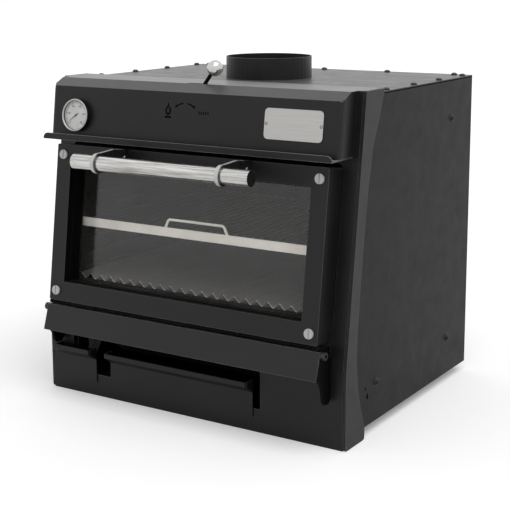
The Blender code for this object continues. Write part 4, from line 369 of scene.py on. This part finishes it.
def woven(name, colour, strand):
    """Fibre rope or blanket: crossed strands with loose fuzz."""
    n = Nodes(name)
    wave = n.tree.nodes.new("ShaderNodeTexWave")
    wave.inputs["Scale"].default_value = 0.16 / strand
    wave.inputs["Distortion"].default_value = 2.5
    wave.inputs["Detail"].default_value = 2.0
    n.join(n.place(turn=(0.4, 0.6, 0.8)), wave.inputs["Vector"])
    fuzz = n.noise(strand / 2, 5.0, 0.7)
    dark = tuple(c * 0.55 for c in colour)
    n.set(Base_Color=n.mix(n.math("MULTIPLY", wave.outputs["Fac"], fuzz), dark, colour),
          Metallic=0.0)
    n.set(Roughness=n.span(fuzz, 0.85, 1.0), Sheen_Weight=0.2)
    n.bump([(wave.outputs["Fac"], strand / 3, 0.6), (fuzz, strand / 6, 0.5)])
    return n.material


def dress(names, material):
    """One material over whole nodes."""
    for name in names:
        mesh = NODES[name].data
        mesh.materials.clear()
        mesh.materials.append(material)
        mesh.shade_smooth()
        mesh.set_sharp_from_angle(angle=SHARP_ANGLE)


def face_dress(name, material, test):
    """A second material on the faces of one node whose middle and direction pass the test."""
    node = NODES[name]
    node.data.materials.append(material)
    turn = node.matrix_world.to_3x3()
    for face in node.data.polygons:
        if test(node.matrix_world @ face.center, (turn @ face.normal).normalized()):
            face.material_index = len(node.data.materials) - 1


# Tests for face_dress: the face's middle and its direction in the world
def front_sheet_top(place, facing):
    """The narrow top edge of the front sheet, under the roof."""
    return facing.z > 0.9 and place.z > 0.66


def level_face(place, facing):
    return facing.z > 0.97


def hinge_knuckle(place, facing):
    return math.hypot(place.y - HINGE_Y, place.z - HINGE_Z) < KNUCKLE_RADIUS


def hatch_lug(place, facing):
    """Low faces that stand more than 6 mm in front of the leaning sheet."""
    return place.z < 0.25 and place.y < slope_y(place.z) - 0.006


def window_edge(place, facing):
    """The cut faces round the door's window."""
    return abs(facing.y) < 0.6 and abs(place.x) < 0.30 and 0.24 < place.z < 0.505


def bracket_side(place, facing):
    return abs(facing.x) > 0.7


def gauge_side(place, facing):
    """Faces at right angles to the leaning dial."""
    return abs(facing.y * math.cos(LEAN) - facing.z * math.sin(LEAN)) < 0.3


def rack_front_rail(place, facing):
    return place.y < SHIFT_Y + 0.0392


def falling_rib(place, facing):
    """Front edges of the grill's ribs, on the falling half of each wave."""
    return facing.y < -0.9 and (place.x / GRILL_PITCH + 0.5) % 1.0 < 0.55


# Blanket faces that get the darker coat: low faces and faces that look up or down
def darkened_blanket(place, facing):
    return place.z < 0.25 or abs(facing.z) > 0.5


def slope_y(z, out=0.0):
    """World depth of the leaning front, or of a plane in front of it, at a height."""
    return SHIFT_Y + (z - KINK_Z) * math.tan(LEAN) - out / math.cos(LEAN)


def dress_paint():
    dress(BLACK_NODES, black_coat("black_heat_paint"))
    dress(SHUTTER_NODES, black_coat("shutter_heat_paint", edge_highlight=0.02))
    # The lip gets more painted light on its upward faces and a stronger painted edge highlight
    dress(("hood_lip",), black_coat("lip_lit_heat_paint", top_dust_and_light=0.22, edge_highlight=0.34))
    dress(FRAME_NODES, black_coat("frame_heat_paint", tone=0.0060, rough=(0.35, 0.45)))
    dress(PANEL_NODES, black_coat("panel_heat_paint", tone=0.0033, rough=(0.36, 0.46),
                                  gloss=0.135))
    dress(SHADED_NODES, SHADED)
    # Lighter copy of the coat on faces that look up: painted light from above
    top_lightened = black_coat("top_lit_heat_paint", tone=0.0060, rough=(0.33, 0.40), gloss=0.34,
                        top_dust_and_light=0.16)
    face_dress("front_sheet", top_lightened, front_sheet_top)
    face_dress("hood_shell", top_lightened, level_face)
    # Painted shade: the darker coat on the hinge knuckles, the hatch's lugs and the cut faces
    # round the door's window
    for knuckled in ("door_shell", "front_sheet"):
        face_dress(knuckled, SHADED, hinge_knuckle)
    face_dress("front_sheet", SHADED, hatch_lug)
    face_dress("door_shell", SHADED, window_edge)


def dress_bright_metal():
    dress(("damper_knob",), polished_steel(
        "knob_stainless", tone=0.60, rough=(0.03, 0.08), streak=0.05, marked=0.0004))
    dress(BRACKET_NODES, polished_steel(
        "bracket_stainless", "Z", tone=0.50, rough=(0.34, 0.44), streak=0.06, marked=0.00001,
        metallic=0.45))
    # Darker copy of the steel on the brackets' side faces: painted shade and painted dark
    # reflection
    side = polished_steel(
        "bracket_shaded_side_stainless", "Z", tone=0.16, rough=(0.24, 0.34), streak=0.10)
    for bracket in BRACKET_NODES:
        face_dress(bracket, side, bracket_side)
    dress(("thermometer_case",), polished_steel(
        "gauge_stainless", tone=0.52, rough=(0.46, 0.56), streak=0.05, marked=0.00001,
        metallic=0.25))
    # The case's sides get near-black enamel
    face_dress("thermometer_case", enamel("gauge_side_dark", (0.006, 0.006, 0.006), 0.5, 0.2),
               gauge_side)
    dress(("flap_pin_left", "flap_pin_right"), polished_steel(
        "pin_steel", tone=0.035, rough=(0.36, 0.48), streak=0.10, marked=0.00001, metallic=0.6))
    dress(SCREW_NODES, polished_steel(
        "screw_stainless", "Z", tone=0.42, rough=(0.40, 0.50), streak=0.06, marked=0.00001,
        metallic=0.3))
    dress(("handle_tube",), polished_steel(
        "tube_stainless", tone=0.69, rough=(0.10, 0.20), streak=0.60, warm=0.985))
    dress(("badge_plate",), polished_steel(
        "badge_stainless", tone=0.46, rough=(0.26, 0.36), streak=0.07, marked=0.00001,
        warm=0.985))


def dress_chamber():
    dress(CHAMBER_NODES, chamber_steel("chamber_sheet"))
    # The rack's wires and the grill are dark copies of the steel as painted shade; the rack's
    # front rail and the front faces of the grill's falling ribs keep the bright copy as painted
    # highlight
    bright = rack_steel("rack_stainless")
    dress(("upper_rack",), rack_steel("rack_shade_darkened", tone=0.07, metallic=0.4))
    dress(("channel_grill",), rack_steel("grill_shade_darkened", tone=0.26, metallic=0.6))
    face_dress("upper_rack", bright, rack_front_rail)
    face_dress("channel_grill", bright, falling_rib)
    dress(("charcoal_grate", "firebox"), cast_iron("firebox_iron"))


def dress_fittings():
    dress(MOULDED_NODES, moulded_black("cap_black"))
    dress(("door_glass",), smoked_glass("window_glass", haze=0.022, index=1.38))
    dress(("thermometer_lens",), glass_nodes("lens_glass").material)
    dress(("thermometer_dial",), enamel("dial_enamel", (0.80, 0.80, 0.78)))
    dress(("thermometer_needle",), INK)
    dress(("insulation_jacket",), woven("fibre_blanket", (0.70, 0.69, 0.65), 0.004))
    face_dress("insulation_jacket", SHADED, darkened_blanket)
    dress(("door_seal",), woven("seal_rope", (0.035, 0.033, 0.031), 0.003))


# Darker, duller black coat: painted shade on parts and faces that sit in shadow or in gaps, such
# as the flap's wings and the parts behind the hatch; on a few small parts, such as the damper's
# lever, it is their own dark finish
SHADED = black_coat("shade_darkened_heat_paint", tone=0.0012, rough=(0.55, 0.65), gloss=0.06,
                    dust=1.0 / 3.0, top_dust_and_light=0.01, edge_highlight=0.015)
INK = enamel("dial_ink", (0.012, 0.012, 0.013), 0.5)
PRINT = enamel("printed_black", (0.0012, 0.0012, 0.0012), 0.75, 0.03)
dress_paint()
dress_bright_metal()
dress_chamber()
dress_fittings()


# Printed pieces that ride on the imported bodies
def piece(name, shape, material, body):
    """A visible piece made of the shape, riding on a body."""
    mesh = bpy.data.meshes.new(name)
    bmesh.ops.recalc_face_normals(shape, faces=shape.faces)
    shape.to_mesh(mesh)
    shape.free()
    mesh.materials.append(material)
    made = bpy.data.objects.new(name, mesh)
    bpy.context.scene.collection.objects.link(made)
    mesh.shade_smooth()
    mesh.set_sharp_from_angle(angle=SHARP_ANGLE)
    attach(made, body)


def leaning(x, z, out):
    """Place on the leaning front: local X to the right, Y up the slope, Z outwards."""
    turn = Matrix.Rotation(math.pi / 2 - LEAN, 4, "X")
    return Matrix.Translation((x, slope_y(z, out), z)) @ turn


def printed(outline, lift=0.0):
    """Print over an outline, lifted off local Z 0."""
    shape = bmesh.new()
    bottom = [shape.verts.new((x, y, lift)) for x, y in outline]
    top = [shape.verts.new((x, y, lift + PRINT_THICK)) for x, y in outline]
    shape.faces.new(list(reversed(bottom)))
    shape.faces.new(top)
    for index in range(len(outline)):
        after = (index + 1) % len(outline)
        shape.faces.new((bottom[index], bottom[after], top[after], top[index]))
    return shape


def merged(shapes):
    """One shape from (shape, place) pairs."""
    whole = bmesh.new()
    for shape, place in shapes:
        bmesh.ops.transform(shape, matrix=place, verts=shape.verts)
        mesh = bpy.data.meshes.new("part")
        shape.to_mesh(mesh)
        shape.free()
        whole.from_mesh(mesh)
        bpy.data.meshes.remove(mesh)
    return whole


def rectangle(width, height):
    x, y = width / 2, height / 2
    return [(-x, -y), (x, -y), (x, y), (-x, y)]


def arc_band(radius, width, start_deg, end_deg, steps):
    """Outline of a flat band along part of a circle."""
    outer, inner = [], []
    for step in range(steps + 1):
        angle = math.radians(start_deg + (end_deg - start_deg) * step / steps)
        for side, far in ((outer, radius + width / 2), (inner, radius - width / 2)):
            side.append((far * math.cos(angle), far * math.sin(angle)))
    return outer + list(reversed(inner))


# Thermometer: its scale runs clockwise from the lower left to the lower right, in degrees
DIAL_START, DIAL_SWEEP = 225, 270
DIAL_TICKS = 50
DIAL_TICKS_PER_NUMBER = 10
DIAL_VALUE_PER_NUMBER = 100
# Print on the dial lies this far in front of its face
DIAL_LIFT = 0.0002


def dial_angle(tick):
    """Direction of a tick, in radians from local X."""
    return math.radians(DIAL_START - DIAL_SWEEP * tick / DIAL_TICKS)


def dial_marks():
    """Ticks, their ring and plain numbers on the thermometer's dial."""
    low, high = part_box("thermometer_dial")
    x, middle_y, middle_z = ((a + b) / 2 for a, b in zip(low, high))
    radius = (high[0] - low[0]) / 2
    half_thick = 0.0005
    out = (slope_y(middle_z) - middle_y) * math.cos(LEAN) + half_thick
    face = leaning(x, middle_z, out)

    marks = []
    for tick in range(DIAL_TICKS + 1):
        numbered = tick % DIAL_TICKS_PER_NUMBER == 0
        halfway = tick % (DIAL_TICKS_PER_NUMBER // 2) == 0
        length = 0.0045 if numbered else 0.0032 if halfway else 0.0022
        width = 0.0007 if numbered else 0.0004
        turn = Matrix.Rotation(dial_angle(tick), 4, "Z")
        along = Matrix.Translation((radius * 0.90 - length / 2, 0.0, 0.0))
        marks.append((printed(rectangle(length, width), DIAL_LIFT), face @ turn @ along))
    ring = arc_band(radius * 0.905, 0.0004, DIAL_START, DIAL_START - DIAL_SWEEP, 60)
    marks.append((printed(ring, DIAL_LIFT), face))
    piece("dial_scale", merged(marks), INK, "oven")

    for step in range(DIAL_TICKS // DIAL_TICKS_PER_NUMBER + 1):
        text = bpy.data.curves.new("dial_number", "FONT")
        text.body = str(step * DIAL_VALUE_PER_NUMBER)
        text.size = 0.0050
        text.align_x = "CENTER"
        text.align_y = "CENTER"
        text.extrude = PRINT_THICK / 2
        written = bpy.data.objects.new("dial_number_" + str(step), text)
        bpy.context.scene.collection.objects.link(written)
        angle = dial_angle(step * DIAL_TICKS_PER_NUMBER)
        far = radius * 0.66
        written.matrix_world = face @ Matrix.Translation(
            (far * math.cos(angle), far * math.sin(angle), DIAL_LIFT + PRINT_THICK / 2))
        bpy.context.view_layer.update()
        mesh = bpy.data.meshes.new_from_object(written)
        solid = bpy.data.objects.new("dial_number_mesh_" + str(step), mesh)
        solid.matrix_world = written.matrix_world
        bpy.data.objects.remove(written)
        bpy.context.scene.collection.objects.link(solid)
        mesh.materials.clear()
        mesh.materials.append(INK)
        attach(solid, "oven")


FLAME_SIZE = 1.27
FLAME = [(x * FLAME_SIZE, y * FLAME_SIZE) for x, y in (
    (0.0, -0.0101), (0.0046, -0.0074), (0.0057, -0.0020), (0.0038, 0.0030), (0.0031, 0.0003),
    (0.0013, 0.0057), (-0.0009, 0.0108), (-0.0013, 0.0054), (-0.0040, 0.0019),
    (-0.0055, -0.0024), (-0.0044, -0.0076), (-0.0001, -0.0101))]
FLAME_X = -0.0438
# The double arrow: two arcs round one middle, each with a head at its outer end
ARC_X, ARC_Z = -0.0035, 0.6052
ARC_RADIUS, ARC_WIDTH, ARC_STEPS = 0.035, 0.0024, 14
ARC_SPANS = ((127, 98), (82, 53))
ARROW_HEAD = [(0.0, 0.0), (-0.0066, 0.0032), (-0.0066, -0.0032)]
ARROW_HEADS = ((134, 90), (46, -90))
TICKS_X = (0.0306, 0.0358, 0.0410, 0.0462, 0.0514)
TICKS_Z = 0.6230


def hood_prints():
    """Signs on the hood: a hollow flame over a bar, the damper's double arrow, plain ticks."""
    def on_hood(x, z):
        return leaning(x, z, HOOD_OUT + PRINT_THICK)

    hollow = [(x * 0.50, y * 0.58 - 0.0012) for x, y in FLAME]
    marks = [(printed(FLAME + list(reversed(hollow))), on_hood(FLAME_X, 0.6273)),
             (printed(rectangle(0.0148, 0.0040)), on_hood(FLAME_X, 0.6113))]
    middle = on_hood(ARC_X, ARC_Z)
    for start, end in ARC_SPANS:
        marks.append((printed(arc_band(ARC_RADIUS, ARC_WIDTH, start, end, ARC_STEPS)), middle))
    for degrees, ahead in ARROW_HEADS:
        angle = math.radians(degrees)
        tip = Matrix.Translation((ARC_RADIUS * math.cos(angle), ARC_RADIUS * math.sin(angle), 0.0))
        turn = Matrix.Rotation(math.radians(degrees + ahead), 4, "Z")
        marks.append((printed(ARROW_HEAD), middle @ tip @ turn))
    for x in TICKS_X:
        marks.append((printed(rectangle(0.0022, 0.0060)), on_hood(x, TICKS_Z)))
    piece("hood_marks", merged(marks), PRINT, "oven")


def rivet_rings():
    """Dark joint around each rivet of the badge plate."""
    low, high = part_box("badge_plate")
    middle_z = (low[2] + high[2]) / 2
    inset = 0.004
    rings = []
    for x in (low[0] + inset, high[0] - inset):
        rings.append((printed(arc_band(0.0024, 0.0009, 0, 359, 24)),
                      leaning(x, middle_z, BADGE_OUT)))
    piece("badge_rivet_rings", merged(rings), PRINT, "oven")


# Marks on the side panels: local X to the rear, Y up, Z to the right
TO_SIDE = Matrix(((0.0, 0.0, 1.0), (1.0, 0.0, 0.0), (0.0, 1.0, 0.0))).to_4x4()
# Outer face of the side panel, a step inside the frame's
SIDE_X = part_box("side_frame_right")[1][0] - 0.0053


def roof_gap_shadows():
    """Painted shadow of a narrow gap along the top of each side panel, just under the roof."""
    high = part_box("side_panel_right")[1]
    start, end, height = SHIFT_Y + 0.125, high[1] - 0.001, 0.0022
    strip = [(start, -height), (end, -height), (end, 0.0), (start, 0.0)]
    for side, x in (("right", SIDE_X), ("left", -SIDE_X - PRINT_THICK)):
        gap_shadow = merged([(printed(strip), Matrix.Translation((x, 0.0, high[2])) @ TO_SIDE)])
        piece("roof_gap_shadow_" + side, gap_shadow, PRINT, "oven")


def side_mark():
    """Two drop-shaped prints on the right side panel."""
    drop = [(0.0, 0.0085), (0.0022, 0.0040), (0.0042, 0.0002), (0.0040, -0.0034),
            (0.0018, -0.0058), (-0.0018, -0.0058), (-0.0040, -0.0034), (-0.0042, 0.0002),
            (-0.0022, 0.0040)]
    shapes = []
    for y, z, size in ((0.098, 0.080, 1.0), (0.090, 0.097, 0.6)):
        place = Matrix.Translation((SIDE_X, SHIFT_Y + y, z)) @ TO_SIDE
        shapes.append((printed(drop), place @ Matrix.Scale(size, 4)))
    piece("side_marks", merged(shapes), PRINT, "oven")


dial_marks()
hood_prints()
rivet_rings()
roof_gap_shadows()
side_mark()


# Studio: pale floor, even light from all around and a soft sun
WORLD_SEEN, WORLD_LIGHT = 1.0, 0.62
FLOOR_RADIUS, FLOOR_DROP, FLOOR_GLOW = 40.0, 0.0004, 0.19
SUN_ENERGY, SUN_SPREAD = 1.30, math.radians(50)
SUN_TOWARDS = (-0.45, 0.30, -1.0)


def surroundings():
    """White where it is seen, mirrored or looked at through glass, and dimmer as a light."""
    scene = bpy.context.scene
    world = bpy.data.worlds.new("studio")
    scene.world = world
    world.use_nodes = True
    tree = world.node_tree
    tree.nodes.clear()
    output = tree.nodes.new("ShaderNodeOutputWorld")
    path = tree.nodes.new("ShaderNodeLightPath")
    backgrounds = []
    for strength in (WORLD_SEEN, WORLD_LIGHT):
        background = tree.nodes.new("ShaderNodeBackground")
        background.inputs["Color"].default_value = (1.0, 1.0, 1.0, 1.0)
        background.inputs["Strength"].default_value = strength
        backgrounds.append(background)
    seen, light = backgrounds
    either = tree.nodes.new("ShaderNodeMath")
    either.operation = "MAXIMUM"
    tree.links.new(path.outputs["Is Camera Ray"], either.inputs[0])
    tree.links.new(path.outputs["Is Glossy Ray"], either.inputs[1])
    any_of = tree.nodes.new("ShaderNodeMath")
    any_of.operation = "MAXIMUM"
    tree.links.new(either.outputs[0], any_of.inputs[0])
    tree.links.new(path.outputs["Is Transmission Ray"], any_of.inputs[1])
    mix = tree.nodes.new("ShaderNodeMixShader")
    tree.links.new(any_of.outputs[0], mix.inputs[0])
    tree.links.new(light.outputs[0], mix.inputs[1])
    tree.links.new(seen.outputs[0], mix.inputs[2])
    tree.links.new(mix.outputs[0], output.inputs["Surface"])


def studio_floor():
    """Wide disc under the feet that glows a little for the camera alone."""
    mesh = bpy.data.meshes.new("studio_floor")
    shape = bmesh.new()
    bmesh.ops.create_circle(shape, cap_ends=True, segments=96, radius=FLOOR_RADIUS)
    shape.to_mesh(mesh)
    shape.free()
    floor = bpy.data.objects.new("studio_floor", mesh)
    floor.location = (0.0, 0.0, -FLOOR_DROP)
    bpy.context.scene.collection.objects.link(floor)
    n = Nodes("studio_floor_paint")
    n.set(Base_Color=n.ramp(n.noise(0.9, 2.0), ((0.3, 0.91), (0.7, 0.93))), Roughness=0.9,
          Specular_IOR_Level=0.1)
    path = n.tree.nodes.new("ShaderNodeLightPath")
    n.set(Emission_Color=(1.0, 1.0, 1.0),
          Emission_Strength=n.math("MULTIPLY", path.outputs["Is Camera Ray"], FLOOR_GLOW))
    mesh.materials.append(n.material)


def key_light():
    data = bpy.data.lights.new("key", "SUN")
    data.energy = SUN_ENERGY
    data.angle = SUN_SPREAD
    sun = bpy.data.objects.new("key", data)
    sun.rotation_euler = Vector(SUN_TOWARDS).to_track_quat("-Z", "Y").to_euler()
    bpy.context.scene.collection.objects.link(sun)


# Camera fitted to the photograph: its size, focal length and optical centre in pixels
PHOTO_SIZE = 510
PHOTO_FOCAL = 1225.65
PHOTO_CENTRE = (237.95, 201.38)
SENSOR_MM = 36.0
CAMERA_PLACE = (1.383216, -1.943560 + SHIFT_Y, 0.887960)
CAMERA_FORWARD = (-0.534596, 0.825201, -0.182345)
CAMERA_UP = (-0.094188, 0.156243, 0.983218)


def camera():
    """Long lens, aimed a little down, with the shift of the photograph's framing."""
    data = bpy.data.cameras.new("camera")
    data.sensor_width = SENSOR_MM
    data.lens = PHOTO_FOCAL / PHOTO_SIZE * SENSOR_MM
    data.shift_x = (PHOTO_SIZE / 2 - PHOTO_CENTRE[0]) / PHOTO_SIZE
    data.shift_y = -(PHOTO_SIZE / 2 - PHOTO_CENTRE[1]) / PHOTO_SIZE
    data.clip_end = 100.0
    made = bpy.data.objects.new("camera", data)
    forward, up = Vector(CAMERA_FORWARD), Vector(CAMERA_UP)
    right = forward.cross(up)
    rotation = Matrix((right, up, -forward)).transposed()
    made.matrix_world = Matrix.Translation(CAMERA_PLACE) @ rotation.to_4x4()
    bpy.context.scene.collection.objects.link(made)
    bpy.context.scene.camera = made


bpy.context.scene.view_settings.view_transform = "Standard"
surroundings()
studio_floor()
key_light()
camera()
